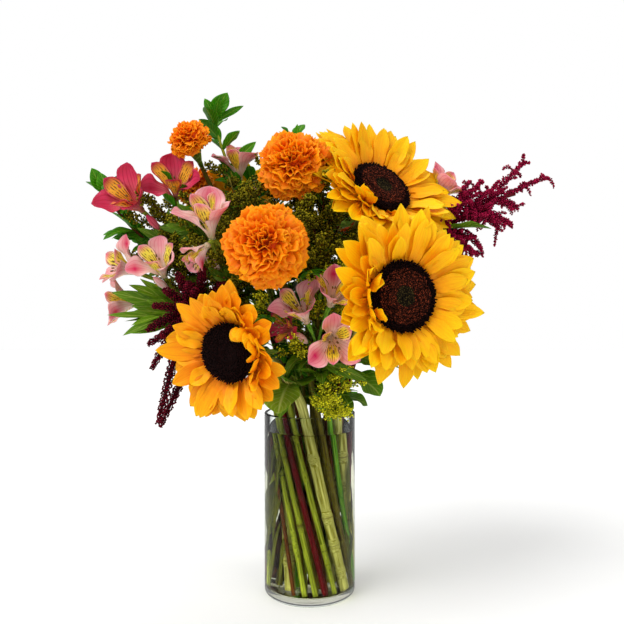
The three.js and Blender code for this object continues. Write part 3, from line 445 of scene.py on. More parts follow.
def toothed_outline(s):
    """A leaf's outline with nine forward teeth along it, which shrink to its tip."""
    return LEAF_OUTLINE(s) * (1 + 0.07 * ((9 * s) % 1.0 - 0.5) * np.sqrt(np.clip(1 - s, 0, 1)) * 2)


def bract_outline(s):
    """Broadest at the root, with sides that bend in to a sharp tip."""
    return (1 - s) ** 0.7


# ---- Materials ----
def colour(value):
    """An sRGB colour such as 0xFFB400, made linear."""
    share = np.array([(value >> shift) & 255 for shift in (16, 8, 0)]) / 255
    return (*np.where(share <= 0.04045, share / 12.92, ((share + 0.055) / 1.055) ** 2.4), 1.0)


def feed(tree, socket, given):
    """Links an output to a socket, or sets the socket's value."""
    if isinstance(given, bpy.types.NodeSocket):
        tree.links.new(given, socket)
    else:
        socket.default_value = given


def add(tree, kind, *given, out=None, stops=(), **named):
    """Adds a node and gives its first output in use, or the one named by out. What is given goes in order to the
    inputs that the node uses, or by name; other names are settings. stops are a ramp's places and colours."""
    made = tree.nodes.new("ShaderNode" + kind)
    for key, setting in named.items():
        if key not in made.inputs:
            setattr(made, key, setting)
    used = [socket for socket in made.inputs if socket.enabled]
    by_name = ((made.inputs[key], one) for key, one in named.items() if key in made.inputs)
    for socket, one in [*zip(used, given), *by_name]:
        feed(tree, socket, one)
    while stops and len(made.color_ramp.elements) < len(stops):
        made.color_ramp.elements.new(1.0)
    for element, (place, value) in zip(made.color_ramp.elements if stops else (), stops):
        element.position = place
        element.color = colour(value)
    return made.outputs[out] if out else next(socket for socket in made.outputs if socket.enabled)


def surface(name, **values):
    """A new material, a function that adds nodes to it, and one that sets or links its Principled shader's own
    sockets, which takes the first values too."""
    made = bpy.data.materials.new(name)
    made.use_nodes = True
    tree = made.node_tree

    def wear(**values):
        """Each name has underscores for the spaces of a socket's name."""
        for key, value in values.items():
            feed(tree, tree.nodes["Principled BSDF"].inputs[key.replace("_", " ")], value)

    wear(**values)
    return made, partial(add, tree), wear


def grain_of(node, *cells):
    """The marks along, across and tint as one vector, and a fine noise with so many cells along a piece, across it
    and over the draws."""
    read = node("Attribute", attribute_name="grain", out="Vector")
    drawn = node("VectorMath", read, cells, operation="MULTIPLY")
    return read, node("TexNoise", drawn, 1.0, 2.0)


def parted(node, read):
    """The marks along, across and tint, each by itself."""
    return (node("SeparateXYZ", read, out=axis) for axis in "XYZ")


def petal_finish(name, stops, veins, shade, tints):
    """Living petal: thin, satin and a little translucent, with fine veins lengthwise. stops run from root to tip;
    veins is how many noise cells fit along and across; shade is the colour of the veins and folds; tints lighten
    or darken each petal by its own draw. Real veins are about 0.5 mm wide; these are drawn about 1 mm wide, as
    finer ones would only flicker."""
    made, node, wear = surface(
        name, Roughness=0.55, Specular_IOR_Level=0.15, Subsurface_Weight=0.25,
        Subsurface_Radius=(1.0, 0.5, 0.15), Subsurface_Scale=0.002,
    )
    read, noise = grain_of(node, *veins, 40.0)
    along, _, tint = parted(node, read)
    lines = node("MapRange", noise, 0.42, 0.7, 0.0, 0.55)
    veined = node("Mix", lines, node("ValToRGB", along, stops=stops), colour(shade), data_type="RGBA")
    level = node("MapRange", tint, 0.0, 1.0, *tints)
    hue = node("MapRange", tint, 0.0, 1.0, 0.492, 0.506)
    wear(
        Base_Color=node("HueSaturation", Hue=hue, Value=level, Color=veined),
        Normal=node("Bump", Height=noise, Strength=0.5, Distance=0.0004),
    )
    return made


def tepal_finish(name, stops, blush, patch, veins):
    """Alstroemeria tepal: satin, pale at the root and edges, with a deep blush towards the tip. The three inner
    ones, whose tint is 1 or more, have a yellow patch with dark broken lines. The stripes stand 3.7 mm apart
    across 25 mm and the dashes are about 5 mm long; real stripes stand about 1.5 mm apart, too fine to show."""
    made, node, wear = surface(
        name, Roughness=0.5, Specular_IOR_Level=0.2, Subsurface_Weight=0.25, Subsurface_Radius=(1.0, 0.4, 0.3),
        Subsurface_Scale=0.002,
    )
    read, noise = grain_of(node, 9.0, 5.0, 40.0)
    along, across, tint = parted(node, read)
    side = node("Math", across, operation="ABSOLUTE")
    stripe = node("Math", node("Math", across, 21.0, operation="MULTIPLY"), operation="SINE")
    vein = node("MapRange", stripe, 0.5, 1.0, 0.0, veins)
    middle = node("MapRange", side, 0.1, 0.8, 1.0, 0.0)
    rising = node("ValToRGB", along, stops=((0.4, 0x000000), (0.74, 0xFFFFFF), (1.0, 0xA0A0A0)))
    strong = node("MapRange", tint, 0.3, 0.9, 0.1, 1.0)
    spot = node("Math", middle, rising, operation="MULTIPLY")
    blushed = node("Math", spot, strong, operation="MULTIPLY")
    inner = node("Math", tint, 0.99, operation="GREATER_THAN")
    window = node(
        "ValToRGB", along, stops=((0.2, 0x000000), (0.34, 0xFFFFFF), (0.74, 0xFFFFFF), (0.94, 0x000000)),
    )
    inside = node("Math", window, inner, operation="MULTIPLY")
    patched = node("Math", inside, node("MapRange", side, 0.6, 0.98, 1.0, 0.0), operation="MULTIPLY")
    broken = node("MapRange", noise, 0.46, 0.52)
    dash = node("Math", broken, node("MapRange", stripe, 0.1, 0.5, 0.0, 0.85), operation="MULTIPLY")
    dashed = node("Math", dash, inside, operation="MULTIPLY")
    painted = node("ValToRGB", along, stops=stops)
    for layer, shade in ((vein, blush), (blushed, blush), (patched, patch), (dashed, 0x5A0A20)):
        painted = node("Mix", layer, painted, colour(shade), data_type="RGBA")
    wear(Base_Color=painted, Normal=node("Bump", Height=noise, Strength=0.4, Distance=0.0003))
    return made


def leaf_finish(name, dark, pale, rib, veins, rough=0.42):
    """Leaf: waxy, with blotches of two greens, a pale midrib and side veins that slant forward from it. veins over
    two pi is how many side veins there are: 60 makes them 6.5 mm apart on a sunflower's leaf."""
    made, node, wear = surface(
        name, Roughness=rough, Specular_IOR_Level=0.14, Subsurface_Weight=0.12, Subsurface_Radius=(0.3, 1.0, 0.2),
        Subsurface_Scale=0.001,
    )
    read, noise = grain_of(node, 5.0, 4.0, 30.0)
    _, across, tint = parted(node, read)
    folded = node("VectorMath", read, operation="ABSOLUTE")
    slant = node("VectorMath", folded, (veins, -0.28 * veins, 0.0), operation="DOT_PRODUCT")
    side_veins = node("MapRange", node("Math", slant, operation="SINE"), 0.75, 1.0, 0.0, 0.5)
    midrib = node("MapRange", node("Math", across, operation="ABSOLUTE"), 0.03, 0.12, 0.9, 0.0)
    lines = node("Math", side_veins, midrib, operation="MAXIMUM")
    painted = node("Mix", noise, colour(dark), colour(pale), data_type="RGBA")
    painted = node("Mix", lines, painted, colour(rib), data_type="RGBA")
    wear(
        Base_Color=node("HueSaturation", Value=node("MapRange", tint, 0.0, 1.0, 0.75, 1.25), Color=painted),
        Normal=node("Bump", Height=lines, Strength=0.6, Distance=0.0004, invert=True),
    )
    return made


def stem_finish(name, dark, pale):
    """Stem: fibrous and slightly waxy, with streaks lengthwise between two greens or browns. A ring of scars,
    where the tint is near 1, darkens each old leaf node. The streaks are about 3.5 mm wide; real fibres are about
    1 mm, too fine to show."""
    made, node, wear = surface(name, Roughness=0.5, Specular_IOR_Level=0.14)
    read, noise = grain_of(node, 9.0, 10.0, 30.0)
    _, _, tint = parted(node, read)
    streak = node("MapRange", noise, 0.38, 0.62)
    painted = node("Mix", streak, colour(dark), colour(pale), data_type="RGBA")
    scar = node("MapRange", tint, 0.75, 1.0, 0.0, 0.7)
    painted = node("Mix", scar, painted, colour(0x4A3A16), data_type="RGBA")
    wear(Base_Color=painted, Normal=node("Bump", Height=noise, Strength=0.5, Distance=0.0006))
    return made


def floret_finish(name, stops, tints):
    """Small dry or fleshy florets, dull, coloured from root to tip, each lighter or darker by its tint: its own draw,
    and in goldenrod also painted shade by its place in the spray.
    """
    made, node, wear = surface(name, Roughness=0.8, Specular_IOR_Level=0.1)
    along, _, tint = parted(node, node("Attribute", attribute_name="grain", out="Vector"))
    level = node("MapRange", tint, 0.0, 1.0, *tints)
    wear(Base_Color=node("HueSaturation", Value=level, Color=node("ValToRGB", along, stops=stops)))
    return made


def clear_finish(name, ior, tint, shine):
    """Glass or water: clear and smooth, and it lets lamp light through to what stands in it. shine tones down what
    it mirrors head on."""
    made, node, _ = surface(
        name, Roughness=0.0, IOR=ior, Transmission_Weight=1.0, Base_Color=colour(tint), Specular_Tint=colour(shine),
    )
    tree = made.node_tree
    through = node("BsdfTransparent", colour(tint))
    bent = tree.nodes["Principled BSDF"].outputs[0]
    mixed = node("MixShader", node("LightPath", out="Is Shadow Ray"), bent, through)
    feed(tree, tree.nodes["Material Output"].inputs["Surface"], mixed)
    return made


# Grown in the open: a bright satin gold, warmer at the root.
RAY_PETAL = petal_finish(
    "sunflower ray floret",
    ((0.0, 0xF08C00), (0.3, 0xFFAE00), (0.65, 0xFFC000), (1.0, 0xFFCC06)), (1.5, 9.0), 0xF29600, (0.94, 1.06),
)
# The same petal, deeper in colour and more amber: painted shade for the sunflower that stands in shade.
SHADED_AMBER_PETAL = petal_finish(
    "sunflower ray floret, amber, painted shade",
    ((0.0, 0xDC7000), (0.3, 0xF79400), (0.65, 0xFDA800), (1.0, 0xFFB400)), (1.5, 9.0), 0xE67E00, (0.94, 1.06),
)
# Tight dark buds, dull and nearly black.
DISC_FLORET = floret_finish(
    "sunflower disc floret", ((0.0, 0x040101), (0.6, 0x0C0202), (1.0, 0x200604)), (0.7, 1.6),
)
# Open brown ones, each with its own lightness, so that the ring looks grainy.
DISC_RING = floret_finish(
    "sunflower disc floret, open", ((0.0, 0x080202), (0.6, 0x1A0604), (1.0, 0x5C2410)), (0.45, 3.0),
)
# Closed olive buds in the middle.
DISC_HEART = floret_finish(
    "sunflower disc heart", ((0.0, 0x050202), (0.7, 0x100A04), (1.0, 0x3A3012)), (0.35, 3.2),
)
# The dark ground that shows between the florets.
DISC_BED = floret_finish("sunflower disc bed", ((0.0, 0x080202), (1.0, 0x0C0303)), (1.0, 1.0))
# Crimped orange petal: deep red-orange in the folds, lighter at the edge.
MARIGOLD_PETAL = petal_finish(
    "marigold petal",
    ((0.0, 0xC83200), (0.4, 0xF06000), (0.75, 0xFF8400), (1.0, 0xFF9600)), (2.0, 5.0), 0xFA7400, (0.92, 1.08),
)
# Three garden colours of one flower, smooth and satin. The rose one is also paler all over: painted light that lifts
# the front blooms out of the marigold's shadow.
PALE_TEPAL = tepal_finish(
    "alstroemeria tepal, salmon pink", ((0.0, 0xB8B070), (0.25, 0xF2D8C8), (0.7, 0xEFB8B4), (1.0, 0xE48C98)),
    0xCE1450, 0xF0DC4C, 0.32,
)
LIT_ROSE_TEPAL = tepal_finish(
    "alstroemeria tepal, rose pink, painted light", ((0.0, 0xC8B078), (0.25, 0xFADCCC), (0.65, 0xF8B8B4), (1.0, 0xF08C9C)),
    0xD01058, 0xF6D838, 0.4,
)
DEEP_TEPAL = tepal_finish(
    "alstroemeria tepal, deep pink", ((0.0, 0xB08050), (0.25, 0xE07078), (0.7, 0xD2345A), (1.0, 0xA01034)),
    0x96042A, 0xF4B030, 0.5,
)
# Dry grains of pollen, dull.
ANTHER = floret_finish("alstroemeria anther", ((0.0, 0x6A3A20), (1.0, 0x8A7A50)), (0.8, 1.2))
# Papery florets, fresh crimson or dried to dark wine. Each floret darkens towards its root, and its pink tip is a
# painted highlight.
AMARANTH_FLORET = floret_finish(
    "amaranth floret", ((0.0, 0x3C0414), (0.6, 0x8C0C34), (1.0, 0xBC1A4C)), (0.6, 1.4),
)
DARK_AMARANTH = floret_finish(
    "amaranth floret, dark", ((0.0, 0x1E0208), (0.6, 0x520616), (1.0, 0x820E2A)), (0.5, 1.5),
)
# Fuzzy buds, olive while shut and yellow when open, darker towards each bud's root. Buds deep in a spray are darker
# still: painted shade.
GOLDENROD_FLORET = floret_finish(
    "goldenrod bud", ((0.0, 0x2A3404), (0.5, 0x68640A), (1.0, 0xA6981A)), (0.35, 1.5),
)
OPEN_GOLDENROD = floret_finish(
    "goldenrod floret, open", ((0.0, 0x4A7A10), (0.5, 0xBCBE1C), (1.0, 0xF0E62C)), (0.6, 1.5),
)
# Fresh leaves, from hairy and dull to waxy and glossy, with pale veins that catch the light.
BROAD_LEAF = leaf_finish("sunflower leaf", 0x3A6604, 0x628A0C, 0x90A444, 60.0)
NARROW_LEAF = leaf_finish("alstroemeria leaf", 0x3C6604, 0x688C12, 0x90A640, 30.0)
GLOSSY_LEAF = leaf_finish("branch leaf", 0x2A6C04, 0x46900A, 0x78A430, 45.0, rough=0.35)
# The same leaf, lighter: painted light that lifts a leaf that hangs in shade.
LIT_SUNFLOWER_LEAF = leaf_finish("sunflower leaf, painted light", 0x688A12, 0x9CB430, 0xC0CA6C, 60.0)
# Leaves under water, soft and without shine, and nearly black: painted shade that darkens the gaps between the stems
# in the vase.
SHADE_WINE_LEAF = leaf_finish("amaranth leaf, sunk, painted shade", 0x1E0602, 0x341604, 0x46280A, 30.0, rough=0.6)
SHADE_OLIVE_LEAF = leaf_finish("alstroemeria leaf, sunk, painted shade", 0x343A04, 0x5A5E08, 0x76762A, 20.0, rough=0.6)
# The hairy green scales behind a flower.
BRACT = leaf_finish("sunflower bract", 0x446414, 0x648420, 0x92A24A, 30.0, rough=0.6)
# Cut stems, fibrous, from young green to woody brown.
OLIVE_STEM = stem_finish("sunflower stem", 0x8E8A2A, 0xE4E284)
GREEN_STEM = stem_finish("alstroemeria stem", 0x5E6A08, 0xAEBA38)
VIVID_STEM = stem_finish("alstroemeria stem, young", 0x40840A, 0x8CC43C)
MOSS_STEM = stem_finish("marigold stem", 0x4A3E0C, 0x7A7220)
WINE_STEM = stem_finish("amaranth stem", 0x40040A, 0x720A14)
BROWN_STEM = stem_finish("woody stem", 0x3A1C06, 0x703C12)
# Blown and polished soda-lime glass, and still tap water: both clear, smooth and bright at the edges.
GLASS = clear_finish("soda-lime glass", 1.5, 0xFAFDFC, 0x404040)
WATER = clear_finish("water", 1.333, 0xF6F2DC, 0x000000)


# ---- Pieces ----
def piece(name, skins, finishes, slot, *nodes):
    """Makes one object of skins, lets it ride on the one body and hides the imported nodes that it stands for."""
    starts = np.cumsum([0] + [len(one[0]) for one in skins])
    points = np.concatenate([one[0] for one in skins]) * MM
    quads = np.concatenate([one[1] + start for one, start in zip(skins, starts)])
    fans = np.concatenate([one[2] + start for one, start in zip(skins, starts)])
    grain = np.concatenate([one[3] for one in skins])
    finish = np.concatenate([np.full(len(one[k]), one[4]) for k in (1, 2) for one in skins])
    corners = np.concatenate([quads.ravel(), fans.ravel()])
    mesh = bpy.data.meshes.new(name)
    mesh.vertices.add(len(points))
    mesh.vertices.foreach_set("co", points.astype(np.float32).ravel())
    mesh.loops.add(len(corners))
    mesh.loops.foreach_set("vertex_index", corners.astype(np.int32))
    mesh.polygons.add(len(quads) + len(fans))
    first = np.concatenate([4 * np.arange(len(quads)), 4 * len(quads) + 3 * np.arange(len(fans))])
    mesh.polygons.foreach_set("loop_start", first.astype(np.int32))
    mesh.polygons.foreach_set("material_index", finish.astype(np.int32))
    mesh.update(calc_edges=True)
    mesh.shade_smooth()
    mesh.attributes.new("grain", "FLOAT_VECTOR", "POINT").data.foreach_set(
        "vector", grain.astype(np.float32).ravel()
    )
    for one in finishes:
        mesh.materials.append(one)
    made = bpy.data.objects.new(name, mesh)
    bpy.context.scene.collection.objects.link(made)
    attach(made, "root")
    if nodes:
        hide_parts(*nodes)
    return made


# ---- Vase and water ----
def arc(radius, middle, height, start, end, steps):
    """Points on a quarter or half round of a profile."""
    turn = np.linspace(start, end, steps) * DEG
    return list(zip(middle + radius * np.cos(turn), height + radius * np.sin(turn)))


def vase():
    """The glass wall and base, turned from one profile with a round foot, a round lip and a round inner corner."""
    r, top, wall, floor = VASE["radius"], VASE["height"], VASE["wall"], VASE["floor"]
    inner, bend, inside = r - wall, VASE["round"], VASE["inside"]
    lip = wall / 2
    profile = [
        (0, 0), (r - bend - 6, 0), *arc(bend, r - bend, bend, -90, 0, 9), (r, 60), (r, 120),
        *arc(lip, r - lip, top - lip, 0, 180, 9), (inner, 120), (inner, 60),
        *arc(inside, inner - inside, floor + inside, 0, -90, 7), (0, floor),
    ]
    piece("glass_cylinder", [set_in(turned(profile, 128))], [GLASS], "glass", "vase")


def water():
    """The water reaches a hair into the glass, so that light passes from one to the other, and climbs the wall
    a little at its edge."""
    seat = 0.15
    r, inside = VASE["radius"] - VASE["wall"] + seat, VASE["inside"] + seat
    low = VASE["floor"] - seat
    profile = [
        (0, low), *arc(inside, r - inside, low + inside, -90, 0, 7), (r, 90),
        (r, WATER_LEVEL + 1), (r, WATER_LEVEL + 1.2), (r - 0.5, WATER_LEVEL + 0.9),
        (r - 1.6, WATER_LEVEL + 0.2), (r - 3, WATER_LEVEL), (0, WATER_LEVEL),
    ]
    piece("clear_water", [set_in(turned(profile, 128))], [WATER], "water", "water")


# ---- Stems and leaves ----
def route(plant, kind, end, along):
    """A stem's foot, and the controls of its curve: it leaves the rim along its own lean and reaches its end
    along a direction, with the second handle moved by bend."""
    at = plant["at"]
    foot = polar(RINGS[plant["ring"]], at + TWIST, VASE["floor"] + GAP + FOOT_RISE * STEMS[kind]["radius"])
    rim = polar(RINGS[plant["ring"]], at, RIM_Z)
    end = np.asarray(end, float)
    reach = np.linalg.norm(end - rim)
    arriving = end - ARRIVE * reach * unit(np.asarray(along, float)) + plant.get("bend", (0, 0, 0))
    return foot, np.array([rim, rim + LEAVE * reach * unit(rim - foot), arriving, end])


def stalk(kind, path, seed, around=14):
    """A stem from its foot to its end: a round section with low ridges, swollen at a few old leaf nodes, that
    thins above the rim."""
    foot, controls = path
    straight = foot + (controls[0] - foot) * np.linspace(0, 1, 50)[:-1, None]
    curve = bezier(controls, np.linspace(0, 1, 40))
    points = np.concatenate([straight, curve])
    share = np.concatenate([np.zeros(49), np.linspace(0, 1, 40)])
    radius, thin = STEMS[kind]["radius"], STEMS[kind]["thin"]
    height = np.linspace(0, 1, len(points))
    nodes = between(seed, np.arange(60, 64), 0.06, 0.5)
    swell = np.exp(-(((height[:, None] - nodes) / 0.008) ** 2)).sum(1)
    wander = 0.025 * np.sin(height * 31 + seed) + 0.02 * np.sin(height * 67 + 2 * seed)
    radii = radius * (1 - (1 - thin) * share) * (0.96 + 0.16 * swell + wander)
    tint = np.concatenate([swell[:1], swell, swell[-1:]])[None, :, None]
    return rod(points, radii, around, ribs=5, rib=0.03, tint=tint)


def leaf_on(plant, kind, controls, number, share, turn, seed, outline=LEAF_OUTLINE, detail=(18, 14)):
    """A leaf on a stem at a share of its curve, pointing a way round the compass, in the posture of the source."""
    leaf = LEAVES[kind]
    posture = BENT.get((plant["name"], number), 0)
    rise = leaf["rises"][posture // len(ASIDES)]
    aside, size = ASIDES[posture % len(ASIDES)]
    return grown(
        *detail, outline, 0.7, standing(bezier(controls, [share])[0], turn + aside),
        length=leaf["length"] * size, width=leaf["width"] * size, rise=rise, curl=between(seed, 7, -50, -20),
        cup=0.25, twist=between(seed, 8, -15, 15), ripple=0.08, waves=2.5, phase=9 * seed, crease=0.12,
        tint=draw(seed, 9),
    )


def shoot_from(controls, share, end, droop=0.0):
    """The controls of a side shoot that leaves a stem along it and reaches its end on the way up."""
    start = bezier(controls, [share])[0]
    end = np.asarray(end, float)
    reach = np.linalg.norm(end - start)
    arriving = unit(end - start) + (0, 0, 0.5 - droop)
    return np.array([start, start + 0.4 * reach * way_along(controls, [share])[0],
                     end - 0.35 * reach * unit(arriving), end])


def twig(controls, thick, thin, rows=16, around=8):
    """A plain round shoot that thins to its tip."""
    curve = bezier(controls, np.linspace(0, 1, rows))[None]
    return rod(curve, np.linspace(thick, thin, rows), around, tint=0.0)


def leaf_whorls(controls, shares, turns, seed, length, width, rise, outline=LEAF_OUTLINE, detail=(9, 8), curl=-40,
                turned_by=25):
    """Many leaves on a stem, each at its share and turn, that vary in length, slope and curl by their draws."""
    number = np.arange(len(shares))
    vary = varied(seed, number)
    return grown(
        *detail, outline, 0.5, standing(bezier(controls, shares), turns),
        length=vary(300, 0.75, 1.15) * length, width=width,
        rise=vary(330, -16, 16) + rise, curl=vary(340, 0.5, 1.5) * curl,
        cup=0.2, crease=0.15, twist=vary(350, -1, 1) * turned_by, ripple=0.12, waves=2.0,
        phase=number, tint=vary(360),
    )


def fans(plant, controls):
    """Leaves that spread like fans, each fan from one place on the stem to both sides of a way, with their faces
    turned one way."""
    skins = []
    for i, (share, way, face, count, spread, length, width, curl) in enumerate(plant.get("fans", ())):
        number, seed = np.arange(count), plant["seed"] + 0.17 * i
        vary = varied(seed, number)
        way = unit(np.array(way, float))
        side = unit(np.cross(way, face))
        turn = (spread * (2 * (number + 0.5) / count - 1) + vary(700, -18, 18)) * DEG
        ways = np.cos(turn)[:, None] * way + np.sin(turn)[:, None] * side
        faces = face + 0.35 * np.stack([between(seed, number + k, -1, 1) for k in (710, 730, 750)], axis=-1)
        skins.append(grown(
            14, 12, LEAF_OUTLINE, 0.5, facing(bezier(controls, share - 0.014 * number), ways, faces),
            length=vary(770, 0.6, 1.1) * length, width=width,
            rise=vary(780, -4, 34), curl=vary(790, 0.5, 2.2) * curl, cup=0.16,
            crease=0.16, twist=vary(800, -45, 45), ripple=0.14, waves=2.0, phase=number,
            sway=vary(820, -0.2, 0.2), tint=vary(810),
        ))
    return skins


def divided_leaves(controls, shares, turns, seed, reach):
    """Feathered leaves: five pairs of leaflets and an end one along a rib that arches out from the stem."""
    base = bezier(controls, shares)
    out = polar(1.0, turns, 0.0)
    ribs = np.stack([base, base + reach * (0.5 * out + (0, 0, 0.3)), base + reach * (out + (0, 0, 0.15))], axis=-2)
    place = np.array([0.3, 0.3, 0.45, 0.45, 0.6, 0.6, 0.75, 0.75, 0.88, 0.88, 0.97])
    aside = np.array([62, -62, 58, -58, 52, -52, 46, -46, 38, -38, 0])
    origins = bezier(ribs, place).reshape(-1, 3)
    turn = (np.asarray(turns)[:, None] + aside).ravel()
    number = np.arange(len(turn))
    vary = varied(seed, number)
    long = reach * np.tile(0.42 - 0.12 * np.abs(place - 0.5), len(base))
    leaflets = grown(
        7, 8, LEAF_OUTLINE, 0.4, standing(origins, turn),
        length=long, width=0.3 * long, rise=vary(400, -10, 25), curl=-35, cup=0.15,
        crease=0.2, twist=vary(430, -20, 20), tint=vary(460),
    )
    return [leaflets, rod(bezier(ribs, np.linspace(0, 1, 8)), 0.5, 5)]


# ---- Sunflowers ----
WHORLS = np.array([(1.04, 0.4, 2), (1, 0.37, 18), (1.04, 0.4, 2), (0.84, 0.32, 34)])


def ray_shapes(flower, number, whorl, lift, push):
    """The shapes of ray florets by their numbers round the head, which may be fractions."""
    vary, petal = varied(flower["seed"], number), flower["petal"]
    length, width, rise = whorl.T
    turn = (number + vary(0, -0.2, 0.2)) * 360 / RAYS
    near = flower["fold"] * np.maximum(0, np.cos((turn - flower["curled"]) * DEG)) ** 2
    folded = vary(0.15, -1, 1) * near
    return turn, dict(
        length=petal * length * vary(0.3, flower["least"], 1.1) * (1 - 0.25 * near)
        * (1 + flower["more"] * np.cos((turn - flower["far"]) * DEG)),
        width=petal * width * flower["wide"] * vary(0.35, 0.9, 1.15) * (1 - 0.12 * near),
        rise=rise + lift + vary(0.1, -4, 4) + near * (16 + rise) + 14 * folded,
        curl=push + vary(0.2, -20, 10) + near * (12 + 1.6 * rise) + 34 * folded,
        cup=vary(0.6, 0.0, 0.3),
        crease=vary(0.7, 0.0, 0.3),
        pleat=vary(0.75, 0.04, 0.12),
        twist=vary(0.4, -14, 14) + 45 * vary(0.45, -1, 1) * near,
        sway=vary(0.5, -0.09, 0.09),
        ripple=vary(0.8, 0.08, 0.3),
        waves=vary(0.9, 1.0, 2.4),
        phase=vary(0.55, 0, 6),
        tint=vary(0.65),
    )


# Each layer of rays: its step round from the first, its root beyond the disc and its height, its length, and how
# much more it rises and curls.
LAYERS = ((0.0, 1.4, -3.0, 1.0, 0, 0), (0.5, 1.0, -4.0, 1.0, -7, -4), (0.75, 0.7, -2.4, 0.96, 5, -6),
          (0.25, 0.2, -1.4, 0.82, 13, -16))


def sunflower_rays(flower, finish):
    """Ray florets in four layers, or as many as the flower's layers: the source's ring, one behind it and two shorter
    ones before it.
    """
    head = head_of(flower)
    number = np.arange(RAYS)
    skins = []
    for shift, root, height, scale, lift, push in LAYERS[:flower.get("layers", 4)]:
        whorl = WHORLS[number % 4] * (scale, 1, 1)
        turn, shape = ray_shapes(flower, number + shift, whorl, lift, push)
        root_at = standing(polar(flower["disc"] + root, turn, height), turn)
        skins.append(grown(15, 20, RAY_OUTLINE, 0.8, root_at, head, **shape))
    piece(flower["name"] + "_rays", skins, [finish], "sunflower_petal", flower["name"] + "_petals")


def disc_height(disc, share):
    """A disc's dome at a share of its radius: a cubic that falls to the rim, dished a little in the heart."""
    return 2 + disc * (0.2 * (1 - share**3) - 0.1 * (1 - share) ** 2)


def sunflower_disc(flower):
    """Florets in crossing spirals over a low dome: tight buds in the heart, open brown ones round it, and a tall
    dark fringe."""
    disc, seed = flower["disc"], flower["seed"]
    head = head_of(flower)
    count = 1300  # florets, enough to cover the dome
    number = np.arange(count)
    vary = varied(seed, number)
    share = np.sqrt((number + 0.5) / count)
    turn = number * GOLDEN
    origin = polar(disc * share, turn, disc_height(disc, share) - 1.0)
    outward = polar(1.0, turn, 0.0)
    lean = vary(0, -0.3, 0.3) + 0.6 * share**2
    face = np.array((0.0, 0.0, 1.0)) + outward * lean[:, None]
    bud = turned([(0, 0), (0.75, 0), (1.0, 0.55), (0.7, 0.85), (0, 1)], 6)
    tall = vary(0.5, 0.7, 1.3) * np.interp(share, [0, 0.3, 0.5, 0.85, 1], [1.8, 1.6, 2.8, 3.4, 4.6])
    wide = disc * 1.55 / np.sqrt(count) * vary(0.7, 0.55, 0.85)
    rings, grain = scattered(bud, wide, tall, looking(origin, face), vary(0.2) ** 2.5)
    rings = placed(rings, head)
    zone = np.digitize(share, (0.3, 0.78))
    bed_profile = [(0, 0), (0.94 * disc, 0), (disc, disc_height(disc, 1.0) - 1.2)]
    bed_profile += [(disc * s, disc_height(disc, s) - 0.6) for s in (0.9, 0.75, 0.5, 0.25)]
    bed = turned(bed_profile + [(0, disc_height(disc, 0.0) - 0.6)], 48)
    piece(
        flower["name"] + "_florets",
        [
            *(skin(rings[zone == k], grain[zone == k], k) for k in range(3)),
            set_in(bed, head, finish=3),
        ],
        [*([DISC_FLORET] * 2 if flower.get("shut") else [DISC_HEART, DISC_RING]), DISC_FLORET, DISC_BED],
        "sunflower_disc", flower["name"] + "_disc",
    )


def sunflower_path(flower):
    """The route of a sunflower's stem to the back of its calyx."""
    return route(flower, "sunflower", behind(flower, CORE + GAP + CALYX * flower["disc"]), flower["face"])


def sunflower_green(flower):
    """The stalk with its calyx, a turned cup with two rows of bracts round it, and the toothed leaves."""
    name, disc, seed = flower["name"], flower["disc"], flower["seed"]
    head = head_of(flower)
    end = -CORE - GAP - CALYX * disc
    path = sunflower_path(flower)
    cup = turned([
        (0, -CORE - GAP), (0.8 * disc, -CORE - GAP), (0.86 * disc, -CORE - 2.5), (0.78 * disc, -CORE - 5),
        (0.55 * disc, end + 3.5), (0.3 * disc, end), (4.6, end - 4), (4.4, end - 8), (0, end - 8),
    ][::-1], 40)
    skins = [stalk("sunflower", path, seed), set_in(cup, head, finish=1)]
    for shift, rise, long in ((0.0, -30, 0.8), (0.5, -20, 0.62)):
        number = np.arange(12) + shift
        vary = varied(seed, number)
        turn = (number + vary(500, -0.2, 0.2)) * 30
        skins.append(grown(
            9, 10, bract_outline, 0.8, standing(polar(0.8 * disc, turn, -CORE - 2.5), turn), head, finish=1,
            length=disc * long * vary(520, 0.9, 1.1), width=0.36 * disc,
            rise=rise + vary(540, -6, 6), curl=20, cup=-0.1, crease=-0.1, ripple=0.1,
            phase=number, tint=draw(seed, 560 + number),
        ))
    piece(name + "_stalk", skins, [OLIVE_STEM, BRACT], "stem", name + "_stem")
    piece(
        name + "_leaves",
        [leaf_on(flower, "sunflower", path[1], i, share, turn, seed + i, outline=toothed_outline, detail=(40, 18))
         for i, (share, turn) in enumerate(flower["leaves"])],
        [BROAD_LEAF], "leaf", name + "_stem",
    )


